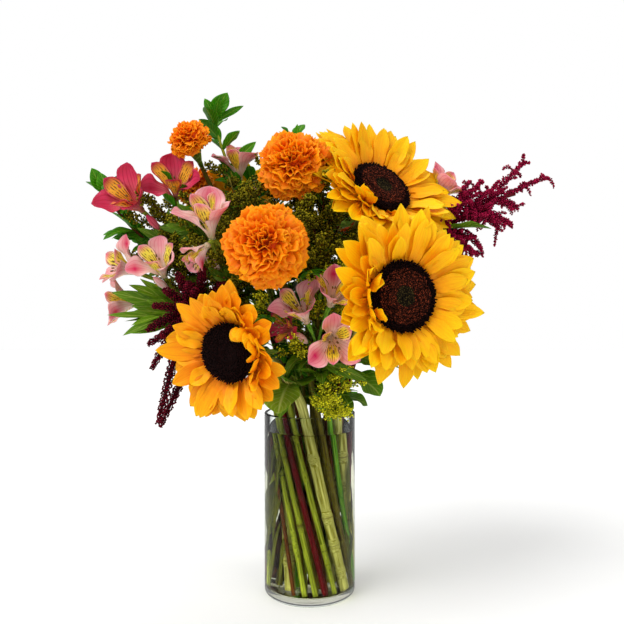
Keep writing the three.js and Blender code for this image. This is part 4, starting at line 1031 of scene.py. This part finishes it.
# ---- Marigolds ----
def marigold_head(flower):
    """Ruffled petals that spread from the heart like a fan, by the golden angle. A petal is a strip that widens
    to a notched edge, which bends away from the heart. A wave that grows towards that edge crumples it, and roll
    turns it on its own length."""
    radius, seed = flower["radius"], flower["seed"]
    head = head_of(flower)
    count = 290 if radius > 30 else 190
    number = np.arange(count)
    vary = varied(seed, number)
    tilt = np.arccos(1 - (1 - np.cos(118 * DEG)) * ((number + 0.5) / count) ** 1.3)
    turn = number * GOLDEN * DEG
    outward = np.stack([np.sin(tilt) * np.cos(turn), np.sin(tilt) * np.sin(turn), OBLATE * np.cos(tilt)], axis=-1)
    skirt = np.clip(tilt / (100 * DEG), 0, 1)
    edge_at = radius * vary(0, 0.82, 1.05)[:, None] * outward
    root_at = 0.36 * radius * outward * (1, 1, 0.8) - (0, 0, 0.1 * radius)
    grow = unit(edge_at - root_at)
    meridian = np.stack([np.cos(tilt) * np.cos(turn), np.cos(tilt) * np.sin(turn), -np.sin(tilt)], axis=-1)
    wide_way = unit(np.cross(grow, meridian))
    roll = vary(0.3, -1, 1) * (55 - 25 * skirt) * DEG
    face = np.cross(wide_way, grow)
    wide_way, face = (
        wide_way * np.cos(roll)[:, None] + face * np.sin(roll)[:, None],
        face * np.cos(roll)[:, None] - wide_way * np.sin(roll)[:, None],
    )
    long = np.linalg.norm(edge_at - root_at, axis=-1)[:, None, None]
    v = np.reshape([0.0, 0.0, 0.4, 0.65, 0.85, 1.0], (1, -1, 1))
    around = 16
    a = 2 * np.pi * np.arange(around) / around
    u, top = np.cos(a), -np.sin(a)
    each = number[:, None, None]
    skirt = skirt[:, None, None]
    half = radius * between(seed, each + 0.5, 0.13, 0.24) * (0.62 + 0.6 * skirt) * (0.3 + 0.7 * v**0.7)
    phase = between(seed, each + 0.7, 0, 6.28)
    wave = np.sin(between(seed, each + 0.9, 3.0, 5.6) * u + phase)
    ruffle = radius * between(seed, each + 0.6, 0.03, 0.07) * v**1.6 * wave
    bend = radius * between(seed, each + 0.8, 0.02, 0.24) * np.clip(4 * skirt * (1 - 0.5 * skirt), 0, 1) * v**2.2
    notch = long * v**3 * (0.05 * np.cos(8 * u + phase) - 0.16 * u**2)
    x = u * half
    y = long * v + notch - 0.5 * bend * v
    z = ruffle + bend + 0.3 * top * (1.2 - 0.5 * v)
    rings = np.stack(np.broadcast_arrays(x, y, z), axis=-1)
    axes = np.stack([wide_way, grow, np.cross(wide_way, grow)], axis=-2)
    rings = placed(placed(rings, (root_at, axes)), head)
    grain = np.stack(np.broadcast_arrays(v, u, draw(seed, each + 0.4)), axis=-1)
    core = turned([
        (0, -MARIGOLD_BACK), (0.34, -0.5), (0.5, -0.3), (0.56, 0), (0.46, 0.26), (0.25, 0.4), (0, 0.44),
    ], 24)
    piece(
        flower["name"] + "_petals",
        [skin(rings, grain, zipped=True), set_in(core * radius, head, tone=(0.3, 1, 1))],
        [MARIGOLD_PETAL], "marigold_petal", flower["name"] + "_head",
    )


def marigold_stalk(flower):
    """The stalk with its calyx, a turned cup with one row of bracts round it, and the divided leaves."""
    name, radius = flower["name"], flower["radius"]
    head = head_of(flower)
    top = -MARIGOLD_BACK * radius - GAP
    deep = MARIGOLD_CUP * radius
    path = route(flower, "marigold", behind(flower, deep - top), flower["face"])
    cup = turned([
        (0, top - deep - 6), (2.7, top - deep - 6), (3.0, top - deep), (0.17 * radius, top - 0.75 * deep),
        (0.23 * radius, top - 0.4 * deep), (0.27 * radius, top - 0.15 * deep), (0.28 * radius, top), (0, top),
    ], 30)
    number = np.arange(9)
    bracts = grown(
        6, 8, bract_outline, 0.6, standing(polar(0.24 * radius, number * 40, top - 0.3 * deep), number * 40),
        head, finish=1,
        length=0.26 * radius, width=0.2 * radius, rise=70, curl=-25, cup=0.1, tint=draw(flower["seed"], number),
    )
    piece(
        name + "_stalk",
        [stalk("marigold", path, flower["seed"]), set_in(cup, head, finish=1), bracts],
        [MOSS_STEM, BRACT], "stem", name + "_stem",
    )
    count = 7
    number = np.arange(count)
    piece(
        name + "_leaves",
        divided_leaves(path[1], 0.2 + 0.62 * number / count, number * GOLDEN + 50 * flower["seed"], flower["seed"],
                       between(flower["seed"], 90, 54, 70)),
        [GLOSSY_LEAF], "leaf", name + "_stem",
    )


# ---- Alstroemerias ----
def alstroemeria_bloom(name, head, face, size, seed, steep, finish, slot, nodes):
    """Six tepals, three broad outer ones and three narrow inner ones by turns, with six curved stamens."""
    axes = looking(head, face)
    skins = []
    for inner in (0, 1):
        number = np.arange(inner, 6, 2)
        vary = varied(seed, number)
        turn = 90 + 60 * number + vary(0, -6, 6)
        skins.append(grown(
            18, 18, TEPAL_OUTLINE, 0.8, standing(polar(2.8, turn, 3.0), turn), axes,
            length=(40 if inner else 42) * size + 0 * turn, width=(16 if inner else 25) * size,
            rise=(76 if inner else 68) + steep + vary(80, -6, 8),
            curl=(-30 if inner else -48) + steep + vary(10, -16, 16),
            cup=0.3, crease=0.15, pleat=0.05, twist=vary(20, -14, 14), ripple=0.22,
            waves=2.2, sway=vary(90, -0.08, 0.08),
            phase=vary(30, 0, 6), tint=inner + 0.49 * ((number // 2 + seed) % 3),
        ))
    cup = turned([(0, 0), (2.6, 0), (3.6, 2), (3.2, 5), (0, 5.5)], 16)
    skins.append(set_in(cup, axes, tone=(0.2, 0, 0)))
    number = np.arange(6)
    vary = varied(seed, number)
    turn = 60 * number + 30 + vary(50, -15, 15)
    reach = vary(60, 24, 31)
    controls = np.stack([
        polar(1.2, turn, 4.0), polar(2.0, turn, 18.0),
        polar(vary(70, 3, 8), turn, reach) + (0, -4, 0),
    ], axis=-2)
    path = bezier(controls, np.linspace(0, 1, 8))
    skins.append(rod(path, 0.35, 6, axes, tone=(0.6, 0, 0)))
    anther = turned([(0, -2.2), (0.7, -1.6), (0.95, 0), (0.7, 1.6), (0, 2.2)], 8)
    end = looking(path[:, -1], path[:, -1] - path[:, -2] + (0, 0, 0.001))
    skins.append(set_in(anther, end, axes, tint=draw(seed, number), finish=1))
    piece(name, skins, [finish, ANTHER], slot, *nodes)


def alstroemeria(plant):
    """A stem that parts at its fork into curved pedicels, one to each bloom and two to buds, over long leaves."""
    name, seed = plant["name"], plant["seed"]
    fork = np.array(plant["fork"], float)
    blooms = plant["blooms"] + plant.get("further", ())
    heads = np.array([bloom[0] for bloom in plant["blooms"]], float)
    along = unit(heads.mean(0) - fork) + (0, 0, 0.6)
    path = route(plant, "alstroemeria", fork, along)
    skins = [stalk("alstroemeria", path, seed, around=12)]
    for head, face, _ in blooms:
        look = unit(np.array(face, float))
        end = np.array(head) - 2 * GAP * look
        reach = np.linalg.norm(end - fork)
        start = bezier(path[1], [0.97])[0]
        curve = bezier([start, start + (0, 0, 0.35 * reach), end - 0.4 * reach * look, end], np.linspace(0, 1, 14))
        radii = np.interp(np.linspace(0, 1, 14), [0, 0.4, 0.75, 0.9, 1], [1.2, 1.2, 1.6, 2.6, 2.4])
        skins.append(rod(curve, radii, 10, tint=0.6))
    number = np.arange(2)
    vary = varied(seed, number)
    tips = fork + np.array([(-14, -12, 20), (12, 8, 24)]) * vary(80, 0.7, 1.1)[:, None]
    start = np.broadcast_to(bezier(path[1], [0.96])[0], tips.shape)
    curve = bezier(np.stack([start, start + (0, 0, 10), tips], axis=-2), np.linspace(0, 1, 10))
    skins.append(rod(curve, 0.9, 8, tint=0.6))
    piece(name + "_stalk", skins, [VIVID_STEM if plant.get("rose") else GREEN_STEM], "stem", name + "_stem")
    bud = turned([(0, -1), (1.6, -0.5), (3.4, 5), (4.2, 10), (3.2, 16), (1.4, 20), (0, 21.5)], 14)
    buds = placed(bud, looking(tips, curve[:, -1] - curve[:, -3]))
    tepal, slot = PALE_TEPAL, "pink_tepal"
    if plant.get("deep"):
        tepal, slot = DEEP_TEPAL, "deep_pink_tepal"
    elif plant.get("rose"):
        # The rose tepal's paler colour is painted light.
        tepal = LIT_ROSE_TEPAL
    grain = marks(bud, 0.3 + 0.4 * number) * (0.9, 1, 1)
    piece(name + "_buds", [skin(buds, grain)], [tepal], slot)
    count = plant["leaves"]
    piece(
        name + "_leaves",
        [leaf_on(plant, "alstroemeria", path[1], i, 0.45 + 0.5 * (i + 0.5) / count, i * GOLDEN + 40 * seed,
                 seed + 0.37 * i) for i in range(count)]
        + [leaf_whorls(path[1], np.linspace(0.62, 0.97, 15), np.arange(15) * GOLDEN + 30 * seed, seed, 46, 15, 48,
                       detail=(14, 12), curl=-105, turned_by=50)] + fans(plant, path[1]),
        [NARROW_LEAF], "leaf", name + "_stem",
    )
    for i, (head, face, size) in enumerate(blooms):
        finish, place = (DEEP_TEPAL, "deep_pink_tepal") if plant.get("dark") == i + 1 else (tepal, slot)
        alstroemeria_bloom(f"{name}_flower_{i + 1}", head, face, size, seed + i, plant.get("steep", 0), finish, place,
                           [f"{name}_bloom_{i + 1}"] if i < len(plant["blooms"]) else [])


# ---- Amaranth ----
def tassel(controls, bulk, turn_on, seed):
    """Pointed florets packed in a spiral round a strand, in knots that swell and shrink along it, and its
    thread."""
    long = np.linalg.norm(controls[-1] - controls[0])
    number = np.arange(int(3.6 * long * (bulk / TASSEL + 0.1)))
    vary = varied(seed, number)
    along = (number + 0.5) / len(number)
    point, way = bezier(controls, along), way_along(controls, along)
    side = unit(np.cross(way, (0.3, 0.2, 1.0)))
    turn = (number * GOLDEN + 70 * turn_on)[:, None] * DEG
    outward = np.cos(turn) * side + np.sin(turn) * np.cross(way, side)
    swell = 0.3 + 0.7 * np.sin(np.pi * np.clip(along * 0.9 + 0.08, 0, 1)) ** 0.5
    knots = 0.68 + 0.42 * np.abs(np.sin(np.pi * along * long / 6.5 + turn_on + 0.6 * outward[:, 0]))
    reach = bulk * swell * knots
    face = outward + way * vary(0.4, -0.2, 0.7)[:, None]
    wide = vary(0.6, 0.85, 1.4)
    floret = turned([(0, 0), (0.95, 0.25), (0.9, 0.7), (0, 1)], 3)
    axes = looking(point + outward * (reach - 1.6)[:, None], face)
    rings, grain = scattered(floret, wide, vary(0.2, 1.6, 2.8), axes, vary(0.8))
    run = np.linspace(0, 1, 14)
    core = np.interp(run, along, bulk * swell * 0.8) - 1.4
    core[0] = 0.8
    thread = rod(bezier(controls, run), np.clip(core, 0.5, None), 7, tint=0.2, tone=(0.3, 1, 1))
    return skin(rings, grain), thread


def amaranth(plant):
    """Tassels on a crimson stalk. On a feathered plant, short side strands stand and droop from each long one."""
    name, seed = plant["name"], plant["seed"]
    end = np.array(plant["tip"], float)
    path = route(plant, "amaranth", end, (end[0], end[1], 60))
    strands = []
    feathered = plant.get("feathered")
    for i, (share, to, lift) in enumerate(plant["strands"] + plant.get("small", ())):
        start = bezier(path[1], [share])[0]
        target = np.array(to, float)
        rise = 0.1 * np.linalg.norm(target - start) + 0.4 * lift
        middle = (start + target) / 2 + (0, between(seed, i, -4, 4), rise)
        controls = np.array([start, middle, target])
        strands.append((controls, TASSEL * (0.8 if feathered else 1.2), i))
        if not feathered:
            continue
        number = np.arange(int(np.linalg.norm(target - start) / 5))
        along = 0.1 + 0.86 * (number + 0.5) / len(number)
        key = 30 * i + number
        base, way = bezier(controls, along), way_along(controls, along)
        out = unit(polar(1.0, key * GOLDEN, between(seed, key + 0.3, -0.3, 0.5)) + 0.5 * way)
        long = (between(seed, key + 0.5, 9, 24) * (1.15 - 0.6 * along))[:, None]
        tips = base + out * long - (0, 0, 0.6) * long * between(seed, key + 0.7, -0.5, 1.6)[:, None]
        side = np.stack([base, base + 0.75 * out * long + (0, 0, 2.5), tips], axis=-2)
        strands += [(one, 0.5 * TASSEL, 0.37 * k) for one, k in zip(side, key)]
    piece(name + "_tassels", [part for k, strand in enumerate(strands) for part in tassel(*strand, seed + 0.13 * k)],
          [AMARANTH_FLORET if feathered else DARK_AMARANTH], "amaranth", name)
    piece(name + "_stalk", [stalk("amaranth", path, seed, around=12)], [WINE_STEM], "stem", name)
    count = plant["leaves"]
    piece(
        name + "_leaves",
        [leaf_on(plant, "amaranth", path[1], i, 0.35 + 0.5 * i / count, i * GOLDEN + 60 * seed, seed + i)
         for i in range(count)] + fans(plant, path[1]),
        [BROAD_LEAF], "leaf", name,
    )


# ---- Goldenrod ----
BUDS = 6  # on a twig


def spray(controls, side, reach, seed, span=0.42, twigs_on=20):
    """Side branches climb round the top of a stem and arch out. Each carries short twigs by the golden angle, and
    each twig a row of small buds. Gives the branches, the twigs and the buds."""
    number = np.arange(0, side + 0.1, 0.5)
    share = 1 - span * (side - number) / side
    start, stem_way = bezier(controls, share), way_along(controls, share)
    way = polar(1.0, number * GOLDEN + 50 * seed, 0.0)
    long = reach * np.where(number == side, 0.7, 0.55 + 0.45 * np.sin(np.pi * (number + 1) / side))
    long = (np.maximum(long, 0.3 * reach) * np.where(number % 1 > 0, 0.8, 1.0))[:, None]
    arches = np.stack([
        start, start + (0.6 * way + 0.35 * stem_way) * long, start + (way + 0.62 * stem_way) * long,
    ], axis=-2)
    run = np.linspace(0, 1, 8)
    branches = rod(bezier(arches, run), 0.75 - 0.45 * run, 5, tint=0.0)
    t = np.linspace(0.1, 1.0, twigs_on)
    base, tangent = bezier(arches, t), way_along(arches, t)
    branch_number, twig_number = np.arange(len(number))[:, None], np.arange(twigs_on)
    spin = ((twig_number * GOLDEN + 31 * branch_number) * DEG)[..., None]
    across = unit(np.cross(tangent, (0.2, 0.1, 1.0)))
    twig_way = unit(
        np.cos(spin) * across + np.sin(spin) * np.cross(tangent, across) + 0.7 * tangent + (0, 0, 0.3)
    )
    key = 100 * branch_number + twig_number
    twig_reach = (between(seed, key, 5.5, 10.5) * (1.1 - 0.5 * t))[..., None]
    point = base[..., None, :] + (twig_way * twig_reach)[..., None, :] * np.linspace(0.2, 1, BUDS)[:, None]
    item = 10 * key[..., None] + np.arange(BUDS)
    scatter = np.stack([between(seed, item + shift, -1, 1) for shift in (0.1, 0.3, 0.5)], axis=-1)
    face = (twig_way[..., None, :] + 0.9 * scatter).reshape(-1, 3)
    bud = turned([(0, 0), (0.9, 0.25), (0.95, 0.7), (0, 1)], 3)
    wide = between(seed, item + 0.7, 0.95, 1.55) * (1 if twigs_on > 13 else 0.75)
    # Buds near the roots of their twig and branch are darker: painted shade inside the spray, times a random tone.
    outer = (0.35 + 0.65 * t[None, :, None]) * np.linspace(0.3, 1, BUDS) * between(seed, item + 0.9, 0.6, 1.2)
    axes = looking((point + 1.2 * scatter).reshape(-1, 3), face)
    buds, grain = scattered(bud, wide, 2.3 * wide, axes, outer.ravel())
    path = base[..., None, :] + (twig_way * twig_reach)[..., None, :] * np.linspace(0, 1, 2)[:, None]
    return branches, rod(path, 0.3, 3), skin(buds, grain)


def goldenrod(plant):
    """Sprays of buds at the top of the stem and on its side shoots, over narrow leaves."""
    name, seed = plant["name"], plant["seed"]
    end = np.array(plant["tip"], float)
    path = route(plant, "goldenrod", end, (0.6 * end[0], 0.6 * end[1], 160))
    twigs_on = 11 if plant.get("open") else 20
    branches, *buds = spray(path[1], plant["side"], plant["reach"], seed, twigs_on=twigs_on)
    stems = [stalk("goldenrod", path, seed, around=10), branches]
    leaves = [leaf_whorls(path[1], np.linspace(0.16, 0.92, 34), np.arange(34) * GOLDEN + 20 * seed, seed, 30, 5, 40)]
    for i, (share, to) in enumerate(plant["shoots"]):
        controls = shoot_from(path[1], share, to)
        branches, *more = spray(controls, 4, 0.72 * plant["reach"], seed + 0.4 * (i + 1), 0.62, twigs_on)
        stems += [twig(controls, 1.3, 0.8), branches]
        buds += more
        leaves.append(leaf_whorls(controls, np.linspace(0.15, 0.9, 14), np.arange(14) * GOLDEN + 9 * i, seed + i,
                                  26, 4.5, 40))
    leaves += fans(plant, path[1])
    finish = OPEN_GOLDENROD if plant.get("open") else GOLDENROD_FLORET
    piece(name + "_plumes", buds, [finish], "goldenrod", name)
    piece(name + "_stalk", stems, [BROWN_STEM if seed % 2 else MOSS_STEM], "stem", name)
    piece(name + "_leaves", leaves, [NARROW_LEAF], "leaf", name)


# ---- Leafy branches ----
def branch(plant):
    """Crossed pairs of leaves up a stem, a leaf at its tip, a whorl between them unless whorl is 0, and leafy side
    shoots.
    """
    name, seed, pairs, low = plant["name"], plant["seed"], plant["pairs"], plant["low"]
    end = np.array(plant["tip"], float)
    path = route(plant, "branch", end, (0.5 * end[0], 0.5 * end[1], 200))
    leaves = [
        leaf_on(plant, "branch", path[1], 2 * i + half, low + (1 - low) * (i + 0.6) / pairs,
                90 * i + 180 * half + 35 * seed, seed + 0.31 * (2 * i + half))
        for i in range(pairs) for half in (0, 1)
    ]
    leaves.append(leaf_on(plant, "tip", path[1], 99, 0.985, 35 * seed, seed + 9))
    if plant.get("whorl", 7):
        leaves.append(leaf_whorls(path[1], np.linspace(low + 0.05, 0.99, 7), np.arange(7) * GOLDEN + 60, seed, 30, 15,
                                  55, detail=(14, 12), curl=-25))
    leaves += fans(plant, path[1])
    twigs = [stalk("branch", path, seed, around=10)]
    for i, (share, to) in enumerate(plant["shoots"]):
        controls = shoot_from(path[1], share, to)
        twigs.append(twig(controls, 1.4, 0.6))
        number = np.arange(13)
        leaves.append(leaf_whorls(controls, 0.24 + 0.76 * number / 12, number // 2 * 90 + number % 2 * 180 + 40 * i,
                                  seed + i, 32, 16, 45, detail=(14, 12), curl=-30))
    piece(name + "_leaves", leaves, [GLOSSY_LEAF], "leaf", name)
    piece(name + "_twig", twigs, [GREEN_STEM if plant.get("green") else BROWN_STEM], "stem", name)


# ---- Loose leaves ----
# Low leaves that hang over the rim: the carrying plant, its kind, its head or tip, the share of its stem, the way
# the leaf points, its length, width, slope, curl and twist.
RIM_LEAVES = (
    (SUNFLOWERS[2], 0.3, 248, 46, 40, -8, -66, 10), (SUNFLOWERS[0], 0.22, 352, 50, 40, 16, -80, 40),
    (SUNFLOWERS[0], 0.14, 300, 34, 12, -10, -70, 20), (SUNFLOWERS[2], 0.16, 215, 34, 14, 0, -80, -20),
    (SUNFLOWERS[1], 0.4, 10, 52, 38, 10, -60, 30), (SUNFLOWERS[3], 0.32, 160, 50, 38, 10, -60, -20),
    (SUNFLOWERS[3], 0.42, 80, 50, 36, 20, -60, 10), (SUNFLOWERS[1], 0.3, 60, 46, 36, 10, -70, 10),
    (SUNFLOWERS[0], 0.34, 340, 44, 34, 24, -70, 30), (SUNFLOWERS[0], 0.1, 10, 36, 26, 14, -60, 30),
)
# Sunk leaves in the water: the way round that they stand, their radius, height, length, width and twist.
SUNK_LEAVES = (
    (196, 30, 30, 52, 22, 30), (206, 34, 90, 58, 20, -40), (180, 24, 60, 60, 26, 10), (150, 20, 110, 56, 24, 60),
    (120, 26, 40, 60, 26, -20), (90, 22, 90, 62, 26, 30), (60, 28, 50, 58, 24, -50), (30, 30, 110, 52, 20, 20),
    (350, 26, 40, 48, 20, -30), (110, 12, 20, 56, 24, 80), (240, 16, 60, 50, 22, 60), (0, 10, 110, 56, 24, 0),
    (184, 36, 14, 64, 22, 90), (176, 36, 66, 66, 22, 80), (186, 37, 122, 60, 20, 100), (358, 36, 16, 60, 20, 90),
    (4, 36, 70, 64, 20, 80), (350, 30, 110, 56, 18, 100), (140, 24, 12, 66, 28, 20), (50, 24, 14, 64, 28, 10),
    (75, 20, 130, 54, 26, -10), (135, 22, 136, 50, 26, 10), (210, 22, 24, 66, 24, 70), (20, 34, 132, 50, 22, 40),
    (190, 34, 140, 44, 20, 80), (210, 36, 134, 46, 22, 60), (160, 26, 128, 52, 26, 30), (100, 18, 128, 52, 26, 0),
    (60, 22, 128, 50, 24, -30), (90, 14, 20, 66, 28, 0),
    (115, 20, 84, 60, 28, 0), (65, 20, 86, 60, 28, 0),
)
STRAP_LEAVES = (
    (200, 41, 11, 76, 8, 0), (209, 42, 62, 74, 7, 20), (193, 42, 98, 76, 8, -20), (215, 41, 112, 66, 7, 10),
    (187, 42, 38, 74, 8, 20), (203, 42, 128, 56, 7, -10), (345, 41, 16, 76, 8, 10), (338, 42, 84, 74, 7, -20),
    (352, 42, 60, 74, 8, 10), (221, 40, 14, 70, 6, 0), (84, 40, 12, 76, 9, 20), (112, 41, 60, 74, 9, -20),
    (62, 41, 84, 76, 9, 10), (140, 41, 30, 76, 9, -10), (98, 41, 104, 70, 8, 20), (36, 41, 40, 76, 9, 0),
)


def rim_leaves():
    """Leaves that hang from the sunflowers' stems over the rim, each by its row of the table."""
    skins = []
    for i, (plant, share, turn, length, width, rise, curl, twist) in enumerate(RIM_LEAVES):
        place = bezier(sunflower_path(plant)[1], [share])[0]
        # The first leaf wears the lighter copy: painted light on a leaf in shade.
        skins.append(grown(
            22, 18, ROUND_OUTLINE, 0.7, standing(place, turn), finish=int(i == 0),
            length=length, width=width, rise=rise, curl=curl, twist=twist, cup=0.12, crease=0.1, ripple=0.1,
            waves=2.2, phase=turn, tint=draw(3, turn),
        ))
    piece("rim_leaves", skins, [BROAD_LEAF, LIT_SUNFLOWER_LEAF], "leaf")


def sunk_leaves():
    """Leaves that stand in the water round the stems, each by its row of the tables, dark wine and olive by turns.
    Their darkness is painted shade between the stems."""
    turn, radius, height, length, width, twist = np.array(SUNK_LEAVES + STRAP_LEAVES, float).T
    rings, grain = blades(
        16, 12, LEAF_OUTLINE, 0.5,
        length=length, width=width, rise=84, curl=between(7, turn, -14, 14), twist=twist, cup=0.2, crease=0.1,
        ripple=0.12, waves=1.7, phase=turn, tint=draw(5, turn),
    )
    rings = placed(rings, standing(polar(radius, turn, height), turn + 180))
    olive = (np.arange(len(turn)) % 2 > 0) | (width < 10)
    skins = [skin(rings[olive == k], grain[olive == k], k) for k in (0, 1)]
    piece("sunk_leaves", skins, [SHADE_WINE_LEAF, SHADE_OLIVE_LEAF], "leaf")


vase()
water()
rim_leaves()
sunk_leaves()
for flower in SUNFLOWERS:
    # The left sunflower wears the amber copy of the petal: painted shade.
    sunflower_rays(flower, SHADED_AMBER_PETAL if flower["name"] == "sunflower_left" else RAY_PETAL)
    sunflower_disc(flower)
    sunflower_green(flower)
for flower in MARIGOLDS:
    marigold_head(flower)
    marigold_stalk(flower)
for plant in ALSTROEMERIAS:
    alstroemeria(plant)
for plant in AMARANTHS:
    amaranth(plant)
for plant in GOLDENRODS:
    goldenrod(plant)
for plant in BRANCHES:
    branch(plant)


# ---- Studio ----
def studio():
    """The photograph's camera, a pale floor, a white surround and two soft lamps."""
    scene = bpy.context.scene
    camera = bpy.data.objects.new("camera", bpy.data.cameras.new("camera"))
    scene.collection.objects.link(camera)
    # The camera fitted to the vase: it looks 0.8 degrees down, and its focal length is 731 pixels of a picture
    # that is 624 wide.
    eye, down, focal, picture, sensor = (0.0026, -0.820, 0.326), 0.8, 731, 624, 36
    camera.location = eye
    camera.rotation_euler = ((90 - down) * DEG, 0, 0)
    camera.data.sensor_width = sensor
    camera.data.lens = focal * sensor / picture
    scene.camera = camera

    # Painted board: rolled matt white, with clouds so faint that they only keep it from looking flat.
    made, node, wear = surface("painted board", Roughness=0.7)
    noise = node("TexNoise", Scale=40.0, Detail=4.0)
    wear(Base_Color=node("Mix", noise, colour(0xF4F4F3), colour(0xFAFAF9), data_type="RGBA"))
    mesh = bpy.data.meshes.new("floor")
    corners = np.array([(-4, -4, 0), (4, -4, 0), (4, 4, 0), (-4, 4, 0)], float) - (0, 0, 0.0005)
    mesh.from_pydata(corners.tolist(), [], [(0, 1, 2, 3)])
    mesh.materials.append(made)
    floor = bpy.data.objects.new("floor", mesh)
    scene.collection.objects.link(floor)

    world = bpy.data.worlds.new("white surround")
    scene.world = world
    world.use_nodes = True
    tree = world.node_tree
    mirrored, sent, straight = (
        add(tree, "LightPath", out=ray) for ray in ("Glossy Depth", "Is Transmission Ray", "Is Camera Ray")
    )
    direct = add(tree, "Math", mirrored, 0.5, operation="LESS_THAN")
    through = add(tree, "Math", sent, direct, operation="MULTIPLY")
    seen = add(tree, "Math", straight, through, operation="MAXIMUM")
    lighting = add(tree, "MapRange", direct, 0.0, 1.0, 0.2, 0.6)
    background = tree.nodes["Background"].inputs
    feed(tree, background["Color"], (1.0, 1.0, 1.0, 1.0))
    feed(tree, background["Strength"], add(tree, "MapRange", seen, 0.0, 1.0, lighting, 1.0))
    # Each lamp has the way it shines from, round and up in degrees, its softness in degrees and its strength.
    for name, turn, rise, softness, strength in (
        ("key", 215, 46, 40, 2.1), ("fill", 320, 30, 40, 0.55), ("top", 80, 70, 40, 0.5),
    ):
        lamp = bpy.data.lights.new(name, "SUN")
        lamp.angle = softness * DEG
        lamp.energy = strength
        held = bpy.data.objects.new(name, lamp)
        scene.collection.objects.link(held)
        held.rotation_euler = ((90 - rise) * DEG, 0, (turn + 90) * DEG)
    scene.view_settings.view_transform = "Standard"


studio()
